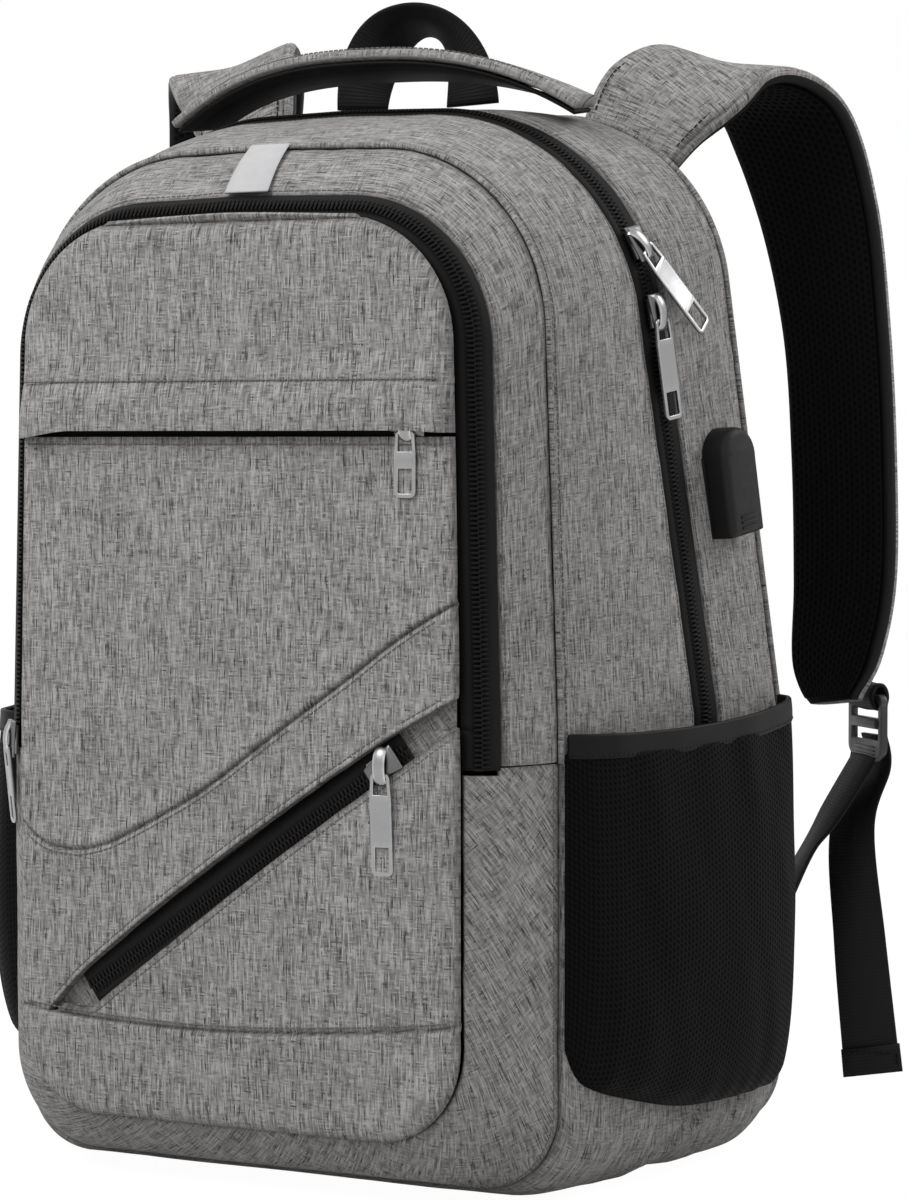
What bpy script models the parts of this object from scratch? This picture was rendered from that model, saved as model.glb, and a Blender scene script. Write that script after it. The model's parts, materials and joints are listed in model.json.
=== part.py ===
"""Laptop backpack with a USB charging port: the construction.

Metres, +Z up. The front organiser faces -Y, the wearer's back is at +Y and the charging port is on +X.
The origin is on the floor, under the middle of the bag. One object is one sub-part.

The bag is lofted between stations. A station is a closed outline seen from the front, set at one depth:
face (inner edge of the front zip), rim (outer edge of that zip), crease (where the organiser meets the
main compartment), zip (the main zip) and back (the piping round the back panel).
"""

import math

import bmesh
import bpy
import numpy as np
from mathutils import Matrix, Vector

MM = 0.001

# Driving dimensions, in metres.
FOLD_Z = 190 * MM          # height at which the front folds forward when it is unzipped
FRONT_Y = -98 * MM         # outer face of the front panels, and the depth of both fold lines
SHELL = 2.4 * MM           # padded fabric of the gussets
PANEL = 4.0 * MM           # padded fabric of the front panels
GAP = 0.4 * MM             # room between pieces that are sewn edge to edge
WEBBING = 1.6 * MM         # thickness of the black webbing
WEB_WIDTH = 25 * MM
ZIP_SLIT = 0.8 * MM        # half the slit between the two halves of a zip
TAPE = 0.8 * MM
COIL_WIDTH = 2.0 * MM
COIL_HEIGHT = 1.6 * MM
ZIP_FOOT_Z = 168 * MM      # lower end of the front zip
MAIN_ZIP_HALF = 9 * MM     # half the width of the main zip, tape included

# Each station: half-widths below and above the fold, floor and top heights, bottom and top corner
# radii, depth at the fold and depth at the top.
STATIONS = {
    "face": dict(wide=0.102, high=0.0997, floor=0.027, top=0.3915, low_r=0.038, top_r=0.050,
                 depth=-0.093, top_depth=-0.093),
    "rim": dict(wide=0.113, high=0.110, floor=0.012, top=0.3995, low_r=0.040, top_r=0.062,
                depth=-0.083, top_depth=-0.083),
    "crease": dict(wide=0.125, high=0.121, floor=0.004, top=0.4205, low_r=0.034, top_r=0.075,
                   depth=-0.055, top_depth=-0.055),
    "belly": dict(wide=0.132, high=0.126, floor=0.0, top=0.4255, low_r=0.030, top_r=0.066,
                  depth=-0.038, top_depth=-0.038),
    "zip": dict(wide=0.147, high=0.1365, floor=0.0, top=0.440, low_r=0.030, top_r=0.092,
                depth=0.039, top_depth=0.004),
    "heel": dict(wide=0.1545, high=0.1455, floor=0.0, top=0.441, low_r=0.030, top_r=0.076,
                 depth=0.080, top_depth=0.050),
    "back": dict(wide=0.156, high=0.147, floor=0.007, top=0.441, low_r=0.030, top_r=0.075,
                 depth=0.094, top_depth=0.060),
}
HIGH_Z = 0.303             # height at which a station's "high" half-width is taken
CROWN = 3 * MM             # how much the top of an outline falls from its middle to its corner
BOTTOM_STEPS, LOW_CORNER_STEPS, LOW_SIDE_STEPS = 3, 4, 3
HIGH_SIDE_STEPS, TOP_CORNER_STEPS, TOP_STEPS = 3, 11, 3

COLOURS = {
    "fabric": ((0.30, 0.29, 0.285), 0.85, 0.0),
    "mesh": ((0.012, 0.012, 0.014), 0.9, 0.0),
    "webbing": ((0.015, 0.015, 0.016), 0.7, 0.0),
    "zip": ((0.014, 0.014, 0.014), 0.6, 0.0),
    "gunmetal": ((0.42, 0.42, 0.43), 0.3, 1.0),
    "plastic": ((0.02, 0.02, 0.022), 0.4, 0.0),
    "rubber": ((0.02, 0.021, 0.023), 0.55, 0.0),
    "reflective": ((0.72, 0.72, 0.73), 0.35, 0.0),
    "lining": ((0.06, 0.06, 0.065), 0.8, 0.0),
    "board": ((0.08, 0.08, 0.085), 0.7, 0.0),
}


# ---------------------------------------------------------------- scene and material helpers

def clear_scene():
    for old in list(bpy.data.objects):
        bpy.data.objects.remove(old, do_unlink=True)


def collection(name):
    made = bpy.data.collections.new(name)
    bpy.context.scene.collection.children.link(made)
    return made


def material(name):
    found = bpy.data.materials.get(name)
    if found:
        return found
    colour, rough, metal = COLOURS[name]
    made = bpy.data.materials.new(name)
    made.use_nodes = True
    shader = made.node_tree.nodes["Principled BSDF"]
    shader.inputs["Base Color"].default_value = (*colour, 1.0)
    shader.inputs["Roughness"].default_value = rough
    shader.inputs["Metallic"].default_value = metal
    return made


def place(data, name, finish, matrix=None):
    """Links an object holding data into the bag's collection."""
    made = bpy.data.objects.new(name, data)
    BAG.objects.link(made)
    data.materials.append(material(finish))
    if matrix is not None:
        made.matrix_world = matrix
    return made


def mesh_of(obj):
    """A mesh of the object as its modifiers leave it, in world space; the object is removed."""
    bpy.context.view_layer.update()
    graph = bpy.context.evaluated_depsgraph_get()
    data = bpy.data.meshes.new_from_object(obj.evaluated_get(graph))
    data.transform(obj.matrix_world)
    work = bmesh.new()
    work.from_mesh(data)
    bmesh.ops.remove_doubles(work, verts=work.verts, dist=1e-6)
    work.to_mesh(data)
    work.free()
    data.materials.clear()
    bpy.data.objects.remove(obj, do_unlink=True)
    return data


def boolean(obj, other, operation):
    """Applies a Boolean at once and removes the other object."""
    change = obj.modifiers.new(operation.title(), "BOOLEAN")
    change.operation = operation
    change.object = other
    name, finish = obj.name, obj.data.materials[0].name
    obj.name = "before"
    data = mesh_of(obj)
    bpy.data.objects.remove(other, do_unlink=True)
    return place(data, name, finish)


# ---------------------------------------------------------------- shape helpers

def sheet(name, rows, finish, thickness):
    """A fabric shell: a grid of points, thickened away from the side its faces point to."""
    across = len(rows[0])
    points = [p for row in rows for p in row]
    faces = []
    for r in range(len(rows) - 1):
        for c in range(across - 1):
            a = r * across + c
            faces.append((a, a + across, a + across + 1, a + 1))
    data = bpy.data.meshes.new(name)
    data.from_pydata(points, [], faces)
    made = place(data, name, finish)
    skin = made.modifiers.new("Thickness", "SOLIDIFY")
    skin.thickness = thickness
    skin.offset = -1.0
    skin.use_even_offset = True
    return made


def plate(name, loops, finish, thickness, matrix):
    """A flat piece: the first loop is its outline and the others are windows in it."""
    data = bpy.data.curves.new(name, "CURVE")
    data.dimensions = "2D"
    data.fill_mode = "BOTH"
    data.extrude = thickness / 2
    for loop in loops:
        line = data.splines.new("POLY")
        line.points.add(len(loop) - 1)
        for point, (x, y) in zip(line.points, loop):
            point.co = (x, y, 0.0, 1.0)
        line.use_cyclic_u = True
    made = place(data, name, finish, matrix)
    return made


def box(name, size, centre, finish, matrix=Matrix.Identity(4)):
    """A box of the given size, centred on a point of the frame that matrix describes."""
    data = bpy.data.meshes.new(name)
    work = bmesh.new()
    bmesh.ops.create_cube(work, size=1.0)
    bmesh.ops.scale(work, vec=size, verts=work.verts)
    bmesh.ops.translate(work, vec=centre, verts=work.verts)
    work.to_mesh(data)
    work.free()
    data.transform(matrix)
    return place(data, name, finish)


def rounded_loop(half_width, half_height, radius, centre=(0.0, 0.0), steps=3):
    """A rectangle with round corners, as a loop of points."""
    loop = []
    for quarter, (sx, sy) in enumerate(((1, 1), (-1, 1), (-1, -1), (1, -1))):
        for k in range(steps + 1):
            angle = math.radians(90 * (quarter + k / steps))
            loop.append((centre[0] + sx * (half_width - radius) + radius * math.cos(angle),
                         centre[1] + sy * (half_height - radius) + radius * math.sin(angle)))
    return loop


def frame_matrix(origin, x_axis, y_axis):
    """A frame with its X and Y as given; Z completes it."""
    x = Vector(x_axis).normalized()
    z = x.cross(Vector(y_axis)).normalized()
    y = z.cross(x)
    turn = Matrix((x, y, z)).transposed().to_4x4()
    return Matrix.Translation(origin) @ turn


def facing_front(y):
    """The frame of a plate that faces -Y: its X is the bag's X and its Y is the bag's Z."""
    return frame_matrix((0, y, 0), (1, 0, 0), (0, 0, 1))


# ---------------------------------------------------------------- stations

def fillet(before, corner, after, radius, steps):
    """The arc that rounds a corner of a 2D polygon."""
    corner = np.array(corner)
    to_before = np.array(before) - corner
    to_after = np.array(after) - corner
    to_before /= np.linalg.norm(to_before)
    to_after /= np.linalg.norm(to_after)
    half = math.acos(float(to_before @ to_after)) / 2
    bisector = to_before + to_after
    centre = corner + bisector / np.linalg.norm(bisector) * radius / math.sin(half)
    start = corner + to_before * radius / math.tan(half) - centre
    end = corner + to_after * radius / math.tan(half) - centre
    first = math.atan2(start[1], start[0])
    sweep = math.atan2(end[1], end[0]) - first
    return [tuple(centre + radius * np.array((math.cos(first + sweep * k / steps),
                                              math.sin(first + sweep * k / steps))))
            for k in range(steps + 1)]


def between(a, b, steps):
    """Points from a up to b, without b."""
    return [tuple(np.array(a) + (np.array(b) - np.array(a)) * k / steps) for k in range(steps)]


def half_outline(station, part, fold=FOLD_Z):
    """The right half of a station's outline as (x, z), from the floor up to the fold ("low") or from
    the fold up to the middle of the top ("high")."""
    s = STATIONS[station]
    if part == "low":
        corner = fillet((0, s["floor"]), (s["wide"], s["floor"]), (s["wide"], fold), s["low_r"],
                        LOW_CORNER_STEPS)
        return (between((0, s["floor"]), corner[0], BOTTOM_STEPS) + corner[:-1]
                + between(corner[-1], (s["wide"], fold), LOW_SIDE_STEPS) + [(s["wide"], fold)])
    slope = (s["wide"] - s["high"]) / (HIGH_Z - FOLD_Z)
    shoulder = (s["wide"] - slope * (s["top"] - CROWN - FOLD_Z), s["top"] - CROWN)
    start = (s["wide"] - slope * (fold - FOLD_Z), fold)
    corner = fillet(start, shoulder, (0, s["top"]), s["top_r"], TOP_CORNER_STEPS)
    return (between(start, corner[0], HIGH_SIDE_STEPS) + corner[:-1]
            + between(corner[-1], (0, s["top"]), TOP_STEPS) + [(0, s["top"])])


def depth_at(station, z):
    """A station leans in one plane above the fold and stands upright below it."""
    s = STATIONS[station]
    rise = max(0.0, (z - FOLD_Z) / (s["top"] - FOLD_Z))
    return s["depth"] + (s["top_depth"] - s["depth"]) * rise


def curve_3d(station, part, fold=FOLD_Z):
    """A station's outline as points, from its right end round to its left end."""
    right = half_outline(station, part, fold)
    if part == "low":
        right = right[::-1]
    left = [(-x, z) for x, z in reversed(right[:-1])]
    return [Vector((x, depth_at(station, z), z)) for x, z in right + left]


def mixed(first, second, share):
    """The points part of the way from one curve to another."""
    return [a.lerp(b, share) for a, b in zip(first, second)]


def gusset(name, curves, part, thickness=SHELL, finish="fabric"):
    """A gusset through curves ordered from front to back, with its faces pointing out of the bag."""
    rows = [list(row) for row in zip(*curves)]
    if part == "high":
        rows = rows[::-1]
    return sheet(name, rows, finish, thickness)


def trimmed(front, back, start, end, columns=1):
    """Curves from start to end, in metres, of the way between two curves. A negative end counts from
    the back curve."""
    made = []
    for k in range(columns + 1):
        row = []
        for a, b in zip(front, back):
            length = (b - a).length
            last = length + end if end <= 0 else end
            row.append(a.lerp(b, (start + (last - start) * k / columns) / length))
        made.append(row)
    return made


# ---------------------------------------------------------------- zips, sliders and pulls

def zip_half(name, inner, outer, outward, finish="zip"):
    """Half a zip along two curves: a thin tape from the outer curve, and the coil at the inner one.
    Inner is the slit's edge; outward gives the surface's normal at each point."""
    profile = []
    for a, b, n in zip(inner, outer, outward):
        side = (b - a).normalized()
        coil = a + side * COIL_WIDTH
        profile.append([
            a - n * COIL_HEIGHT * 0.25, a + n * COIL_HEIGHT * 0.75,
            coil + n * COIL_HEIGHT * 0.75, coil + n * TAPE / 2,
            b + n * TAPE / 2, b - n * TAPE / 2, coil - n * TAPE / 2,
            coil - n * COIL_HEIGHT * 0.25])
    return swept(name, profile, finish)


def swept(name, sections, finish):
    """A solid through sections of equal point count, closed at both ends."""
    count = len(sections[0])
    points = [p for section in sections for p in section]
    faces = []
    for s in range(len(sections) - 1):
        for c in range(count):
            a, b = s * count + c, s * count + (c + 1) % count
            faces.append((a, b, b + count, a + count))
    faces.append(tuple(reversed(range(count))))
    faces.append(tuple(range(len(points) - count, len(points))))
    data = bpy.data.meshes.new(name)
    data.from_pydata(points, [], faces)
    work = bmesh.new()
    work.from_mesh(data)
    bmesh.ops.recalc_face_normals(work, faces=work.faces)
    work.to_mesh(data)
    work.free()
    return place(data, name, finish)


def normals_along(front, back):
    """Outward normals of the surface between two curves that run from right to left over the top."""
    made = []
    for k, (a, b) in enumerate(zip(front, back)):
        ahead = front[min(k + 1, len(front) - 1)] - front[max(k - 1, 0)]
        made.append((b - a).cross(ahead).normalized())
    return made


SLIDER_LENGTH = 13 * MM
SLIDER_WIDTH = 10 * MM
PLATE = 1.2 * MM
PLATE_OVER = 2.2 * MM      # underside of a slider's top plate, above the tape
PLATE_UNDER = -2.2 * MM    # underside of its bottom plate
EYE_HEIGHT = 4.7 * MM      # height of the pull's bar above the tape
PULL_WIDTH = 9.5 * MM
PULL_THICK = 1.4 * MM


def slider(name, matrix, crown_turn=0.0, eye=EYE_HEIGHT, bar=1.1 * MM):
    """A zip slider. Its frame: X along the zip, Y across it, Z out of the surface, on the tape."""
    made = box(name, (SLIDER_LENGTH, SLIDER_WIDTH, PLATE), (0, 0, PLATE_OVER + PLATE / 2),
               "gunmetal", matrix)
    parts = [
        ((SLIDER_LENGTH, SLIDER_WIDTH, PLATE), (0, 0, PLATE_UNDER + PLATE / 2)),
        ((2.4 * MM, 2 * (ZIP_SLIT - 0.35 * MM), PLATE_OVER - PLATE_UNDER),
         (3.2 * MM, 0, (PLATE_OVER + PLATE_UNDER) / 2 + 0.3 * MM)),
    ]
    for size, centre in parts:
        made = boolean(made, box("cutter", size, centre, "gunmetal", matrix), "UNION")
    crown = matrix @ Matrix.Rotation(crown_turn, 4, "Z")
    top = eye + 0.2 * MM + bar
    rise = top + 0.3 * MM - PLATE_OVER
    arch = [((1.1 * MM, 2.4 * MM, rise), (side * 3.2 * MM, 0, PLATE_OVER + 0.1 * MM + rise / 2))
            for side in (-1, 1)]
    arch.append(((7.9 * MM, 2.8 * MM, bar), (0, 0, top + bar / 2)))
    for size, centre in arch:
        made = boolean(made, box("cutter", size, centre, "gunmetal", crown), "UNION")
    return made


def pull_tab(name, matrix, length=38 * MM):
    """A pull tab. Its frame: origin on the bar held by the slider, -X down its length, Z outwards."""
    half = PULL_WIDTH / 2
    bar = 0.7 * MM
    outline = [(bar, -half * 0.72), (bar, half * 0.72), (-6 * MM, half * 0.78)]
    outline += [(-length + 1.5 * MM, half), (-length, half - 1.5 * MM)]
    outline += [(-length, -half + 1.5 * MM), (-length + 1.5 * MM, -half), (-6 * MM, -half * 0.78)]
    eye = rounded_loop(2.4 * MM, 2.2 * MM, 0.5 * MM, (-bar - 2.4 * MM, 0), 1)
    window = rounded_loop(4.0 * MM, 2.8 * MM, 1.0 * MM, (-length + 6.0 * MM, 0), 2)
    return plate(name, [outline, eye, window], "gunmetal", PULL_THICK, matrix)


def pull_on(name, slider_matrix, turn, droop=math.radians(3.5), length=38 * MM):
    """A pull hung on a slider, turned in the surface and drooping towards the fabric."""
    at = slider_matrix @ Matrix.Rotation(turn, 4, "Z") @ Matrix.Translation((0, 0, EYE_HEIGHT))
    return pull_tab(name, at @ Matrix.Rotation(-droop, 4, "Y"), length)


# ---------------------------------------------------------------- the bag's shell

def body_shell():
    crease_high, zip_high, back_high = (curve_3d(s, "high") for s in ("crease", "zip", "back"))
    rim_high = curve_3d("rim", "high")
    lift = Vector((0, 0, GAP))
    gusset("front_gusset", [[p + lift for p in row]
                            for row in trimmed(rim_high, crease_high, GAP, -GAP, 2)], "high")
    gusset("mid_gusset", [[p + lift for p in row]
                          for row in trimmed(crease_high, zip_high, GAP, -MAIN_ZIP_HALF, 3)], "high")
    gusset("rear_gusset", [[p + lift for p in row]
                           for row in trimmed(zip_high, back_high, MAIN_ZIP_HALF, -GAP, 2)], "high")
    low = [curve_3d(s, "low") for s in ("crease", "belly", "zip", "heel", "back")]
    low[0] = mixed(low[0], low[1], GAP / (low[1][0] - low[0][0]).length)
    gusset("lower_wrap", low, "low")
    face_low, rim_low, crease_low = (curve_3d(s, "low") for s in ("face", "rim", "crease"))
    made = gusset("lower_front_gusset",
                  [trimmed(face_low, rim_low, GAP, 0)[0], rim_low,
                   trimmed(rim_low, crease_low, 0, -GAP)[-1]], "low")
    for side in (-1, 1):
        window = box("cutter", (20 * MM, 26 * MM, 40 * MM),
                     (side * 104 * MM, -96 * MM, ZIP_FOOT_Z + 20 * MM), "fabric")
        made = boolean(made, window, "DIFFERENCE")


def outline_2d(station, part, inset=0.0, low=None, high=None):
    """A closed outline for a flat panel: a station's outline drawn in by inset, cut between heights."""
    s = STATIONS[station]
    loop = []
    right = half_outline(station, "low")[:-1] + half_outline(station, "high")
    scale_x = 1 - inset / s["wide"]
    middle = (s["floor"] + s["top"]) / 2
    scale_z = 1 - inset / (middle - s["floor"])
    right = [(x * scale_x, middle + (z - middle) * scale_z) for x, z in right]
    low = right[0][1] if low is None else low
    high = right[-1][1] if high is None else high
    for k, (x, z) in enumerate(right):
        if k and (right[k - 1][1] - low) * (z - low) < 0:
            loop.append(crossing(right[k - 1], (x, z), low))
        if k and (right[k - 1][1] - high) * (z - high) < 0:
            loop.append(crossing(right[k - 1], (x, z), high))
        if low <= z <= high:
            loop.append((x, z))
    ends = [p for p in loop if p[0] > 1e-6]
    middle_points = [p for p in loop if p[0] <= 1e-6]
    floor_point = [p for p in middle_points if p[1] < ends[0][1] + 1e-9][:1]
    top_point = [p for p in middle_points if p[1] > ends[-1][1] - 1e-9][:1]
    return floor_point + ends + top_point + [(-x, z) for x, z in reversed(ends)]


def crossing(a, b, z):
    share = (z - a[1]) / (b[1] - a[1])
    return (a[0] + (b[0] - a[0]) * share, z)


DIAG_START = Vector((-66 * MM, 0, 79.5 * MM))   # lower end of the diagonal zip, on its slit
DIAG_END = Vector((79 * MM, 0, 182.0 * MM))     # its upper end
DIAG_Y = FRONT_Y + 1.2 * MM
DIAG_HALF = 7 * MM
DIAG_SLIDER_AT = 11 * MM                        # from the upper end to the slider's middle
FLAP_Z = 306 * MM                               # lower edge of the storm flap
FLAP_TOP_Z = 326 * MM
FLAP_ZIP_Z = 309 * MM
FLAP_ZIP_Y = FRONT_Y + 3.3 * MM
FLAP_ZIP_HALF = 5.4 * MM
FLAP_FACE = 3.4 * MM                            # how far the flap's inner face stands off the front
FLAP_ZIP_END = 88 * MM


def diag_frame():
    """On the diagonal zip's slit, in its middle: X up along the zip, Z out of the bag."""
    middle = (DIAG_START + DIAG_END) / 2
    along = DIAG_END - DIAG_START
    return frame_matrix((middle.x, DIAG_Y, middle.z), along, (-along.z, 0, along.x))


def window_loop(frame, half_length, half_width):
    """A rectangle of a frame, as (x, z) points on the front."""
    corners = ((-1, -1), (1, -1), (1, 1), (-1, 1))
    points = [frame @ Vector((sx * half_length, sy * half_width, 0)) for sx, sy in corners]
    return [(p.x, p.z) for p in points]


def front_panels():
    inner = FRONT_Y + PANEL / 2
    diag_length = (DIAG_END - DIAG_START).length / 2
    slot = window_loop(diag_frame(), diag_length + GAP, DIAG_HALF + GAP)
    lower = outline_2d("face", "low", GAP, high=FOLD_Z - GAP)
    plate("front_panel_lower", [lower, slot], "fabric", PANEL, facing_front(inner))
    middle = outline_2d("face", "high", 2.6 * MM, low=FOLD_Z + GAP, high=FLAP_ZIP_Z - FLAP_ZIP_HALF - GAP)
    plate("front_panel_mid", [middle], "fabric", PANEL, facing_front(inner))
    upper = outline_2d("face", "high", 2.6 * MM, low=FLAP_ZIP_Z + FLAP_ZIP_HALF + GAP)
    top = plate("front_panel_top", [upper], "fabric", PANEL, facing_front(inner))
    flap_half = outline_2d("face", "high", 2.6 * MM, low=FLAP_Z, high=FLAP_TOP_Z)
    flap = plate("flap", [flap_half], "fabric", 1.4 * MM, facing_front(FRONT_Y - FLAP_FACE - 0.7 * MM))
    seam = outline_2d("face", "high", 3.2 * MM, low=FLAP_TOP_Z - 4 * MM, high=FLAP_TOP_Z)
    join = plate("seam", [seam], "fabric", FLAP_FACE + 2 * MM, facing_front(FRONT_Y - FLAP_FACE / 2))
    joined = place(mesh_of(top), "front_panel_top", "fabric")
    for piece in (flap, join):
        joined = boolean(joined, place(mesh_of(piece), "cutter", "fabric"), "UNION")


def dividers():
    """The wall between the organiser and the main compartment, in two parts that fold apart."""
    y = -62 * MM
    upper = outline_2d("crease", "high", 12 * MM, low=FOLD_Z + 2 * MM)
    plate("divider_upper", [upper], "lining", 1.6 * MM, facing_front(y))
    lower = outline_2d("crease", "low", 12 * MM, high=FOLD_Z - 2 * MM)
    plate("divider_lower", [lower], "lining", 1.6 * MM, facing_front(y))


def leaning(station, y_shift):
    """The frame of a plate that lies in a station's leaning plane above the fold."""
    s = STATIONS[station]
    base = Vector((0, s["depth"] + y_shift, FOLD_Z))
    up = Vector((0, s["top_depth"] - s["depth"], s["top"] - FOLD_Z)).normalized()
    origin = base - up * FOLD_Z
    return frame_matrix(origin, (1, 0, 0), up)


def back_and_inside():
    """The padded back, drawn as a closed sheet that stands upright and then leans to the top."""
    def rows_of(station, inset, shift, low, high, steps):
        made = []
        for k in range(steps + 1):
            z = low + (high - low) * k / steps
            half = width_at(station, z) - inset
            y = depth_at(station, z) + shift
            made.append([Vector((half * c / 4, y, z)) for c in range(-4, 5)])
        return made
    sheet("back_panel", rows_of("back", 5.2 * MM, 4 * MM, 12 * MM, 434.6 * MM, 22),
          "mesh", 9 * MM)
    sheet("laptop_sleeve", rows_of("back", 16 * MM, -34 * MM, 12 * MM, 330 * MM, 8)[::-1],
          "lining", 5 * MM)
    box("base_board", (200 * MM, 96 * MM, 3 * MM), (0, 14 * MM, 6.0 * MM), "board")


def width_at(station, z):
    """Half-width of a station's outline at a height."""
    points = half_outline(station, "low")[:-1] + half_outline(station, "high")
    for a, b in zip(points, points[1:]):
        if a[1] <= z <= b[1] and b[1] > a[1]:
            return a[0] + (b[0] - a[0]) * (z - a[1]) / (b[1] - a[1])
    return points[-1][0]


# ---------------------------------------------------------------- zips in place

def main_zip():
    front, back = curve_3d("zip", "high"), curve_3d("back", "high")
    crease = curve_3d("crease", "high")
    lift = Vector((0, 0, GAP))
    normals = normals_along(crease, back)
    rear_inner, rear_outer = trimmed(front, back, ZIP_SLIT, MAIN_ZIP_HALF - GAP)
    zip_half("main_zip_rear", [p + lift for p in rear_inner], [p + lift for p in rear_outer], normals)
    fore_inner, fore_outer = trimmed(front, crease, ZIP_SLIT, MAIN_ZIP_HALF - GAP)
    zip_half("main_zip_front", [p + lift for p in fore_inner], [p + lift for p in fore_outer], normals)


def front_zip():
    face, rim = curve_3d("face", "high"), curve_3d("rim", "high")
    lift = Vector((0, 0, GAP))
    normals = normals_along(face, rim)
    middle = mixed(face, rim, 0.5)
    for name, edge in (("front_zip_inner", face), ("front_zip_outer", rim)):
        inner, outer = trimmed(middle, edge, ZIP_SLIT, -GAP)
        zip_half(name, [p + lift for p in inner], [p + lift for p in outer], normals)
    zip_feet()


def zip_feet():
    """The last stretch of the front zip below the fold: both halves joined at the bottom stop."""
    for side, name in ((1, "zip_foot_right"), (-1, "zip_foot_left")):
        frame = foot_frame(side)
        half_length = (FOLD_Z - ZIP_FOOT_Z) / 2 - GAP
        half_width = 7.0 * MM
        made = box(name, (2 * half_length, 2 * half_width, TAPE), (0, 0, 0), "zip", frame)
        made = boolean(made, box("cutter", (2 * half_length, 2 * (ZIP_SLIT + COIL_WIDTH), COIL_HEIGHT),
                                 (0, 0, COIL_HEIGHT / 4), "zip", frame), "UNION")
        boolean(made, box("cutter", (2 * half_length, 2 * ZIP_SLIT, 4 * COIL_HEIGHT),
                          (2 * MM, 0, 0), "zip", frame), "DIFFERENCE")


def foot_frame(side):
    """On the front zip's line, in the middle of its foot: X up, Z out of the bag."""
    s, r = STATIONS["face"], STATIONS["rim"]
    middle = Vector((side * (s["wide"] + r["wide"]) / 2, (s["depth"] + r["depth"]) / 2,
                     (FOLD_Z + ZIP_FOOT_Z) / 2))
    across = Vector((side * (r["wide"] - s["wide"]), r["depth"] - s["depth"], 0))
    out = Vector((0, 0, 1)).cross(across) * side
    if out.y > 0:
        out = -out
    return frame_matrix(middle, (0, 0, 1), out.cross(Vector((0, 0, 1))))


def slit_tape(name, frame, half_length, half_width, finish="zip"):
    """A straight zip with both halves joined at its ends."""
    made = box(name, (2 * half_length, 2 * half_width, TAPE), (0, 0, 0), finish, frame)
    coil = box("cutter", (2 * half_length - 2 * MM, 2 * (ZIP_SLIT + COIL_WIDTH), COIL_HEIGHT),
               (0, 0, COIL_HEIGHT / 4), finish, frame)
    made = boolean(made, coil, "UNION")
    slit = box("cutter", (2 * half_length - 5 * MM, 2 * ZIP_SLIT, 4 * COIL_HEIGHT), (0, 0, 0),
               finish, frame)
    return boolean(made, slit, "DIFFERENCE")


def flap_frame():
    return frame_matrix((0, FLAP_ZIP_Y, FLAP_ZIP_Z), (1, 0, 0), (0, 0, 1))


def pocket_zips():
    slit_tape("diag_zip", diag_frame(), (DIAG_END - DIAG_START).length / 2, DIAG_HALF)
    slit_tape("flap_zip", flap_frame(), FLAP_ZIP_END, FLAP_ZIP_HALF)


# ---------------------------------------------------------------- sliders in place

def on_zip(x, z, along, out):
    y = depth_at("zip", z)
    return frame_matrix((x, y, z), along, out.cross(along))


def main_slider_frames():
    """The upper slider sits on the round of the corner, the lower one at the top of the straight."""
    s = STATIONS["zip"]
    slope = (s["wide"] - s["high"]) / (HIGH_Z - FOLD_Z)
    lean = (s["top_depth"] - s["depth"]) / (s["top"] - FOLD_Z)
    lower_z = MAIN_LOWER_Z
    lower_at = Vector((s["wide"] - slope * (lower_z - FOLD_Z), depth_at("zip", lower_z), lower_z))
    along = Vector((-slope, lean, 1)).normalized()
    lower = surface_frame(lower_at, along)
    centre = main_arc_centre()
    axis = main_arc_axis()
    start = lower_point_on_arc()
    upper = (Matrix.Translation(centre) @ Matrix.Rotation(MAIN_UPPER_TURN, 4, axis)
             @ Matrix.Translation(-centre) @ surface_frame(start, along))
    return upper, lower


MAIN_LOWER_Z = 354 * MM
MAIN_UPPER_TURN = math.radians(16.5)


def surface_frame(at, along):
    """A slider's frame on the main zip: X up the zip, Z out of the side."""
    s, b = STATIONS["crease"], STATIONS["back"]
    back_way = Vector((b["high"] - s["high"], b["depth"] - s["depth"], 0)).normalized()
    out = back_way.cross(along).normalized()
    return frame_matrix(at, along, out.cross(along))


def main_arc_corner():
    """Start, centre and end of the corner arc of the main zip's outline, as (x, z)."""
    s = STATIONS["zip"]
    slope = (s["wide"] - s["high"]) / (HIGH_Z - FOLD_Z)
    shoulder = (s["wide"] - slope * (s["top"] - CROWN - FOLD_Z), s["top"] - CROWN)
    arc = fillet((s["wide"], FOLD_Z), shoulder, (0, s["top"]), s["top_r"], TOP_CORNER_STEPS)
    return arc


def lower_point_on_arc():
    x, z = main_arc_corner()[0]
    return Vector((x, depth_at("zip", z), z))


def main_arc_axis():
    """The leaning plane's normal, pointing to the front."""
    s = STATIONS["zip"]
    lean = (s["top_depth"] - s["depth"]) / (s["top"] - FOLD_Z)
    return Vector((0, -1, lean)).normalized()


def main_arc_centre():
    """Centre of the main zip's corner arc. The outline is drawn upright and then leans back to its
    plane by a shear, so the arc is very nearly round about this point."""
    arc = main_arc_corner()
    s = STATIONS["zip"]
    first, middle, last = (np.array(p) for p in (arc[0], arc[len(arc) // 2], arc[-1]))
    a = np.array([2 * (middle - first), 2 * (last - first)])
    b = np.array([middle @ middle - first @ first, last @ last - first @ first])
    x, z = np.linalg.solve(a, b)
    del s
    return Vector((float(x), depth_at("zip", float(z)), float(z)))


# ---------------------------------------------------------------- trim of the shell

def rod(name, path, radius, finish, closed=False):
    """A round cord through points."""
    data = bpy.data.curves.new(name, "CURVE")
    data.dimensions = "3D"
    data.bevel_depth = radius
    data.bevel_resolution = 1
    data.use_fill_caps = True
    line = data.splines.new("POLY")
    line.points.add(len(path) - 1)
    for point, at in zip(line.points, path):
        point.co = (*at, 1.0)
    line.use_cyclic_u = closed
    made = place(data, name, finish)
    weld = made.modifiers.new("Weld", "WELD")
    weld.merge_threshold = 1e-6
    return made


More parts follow.
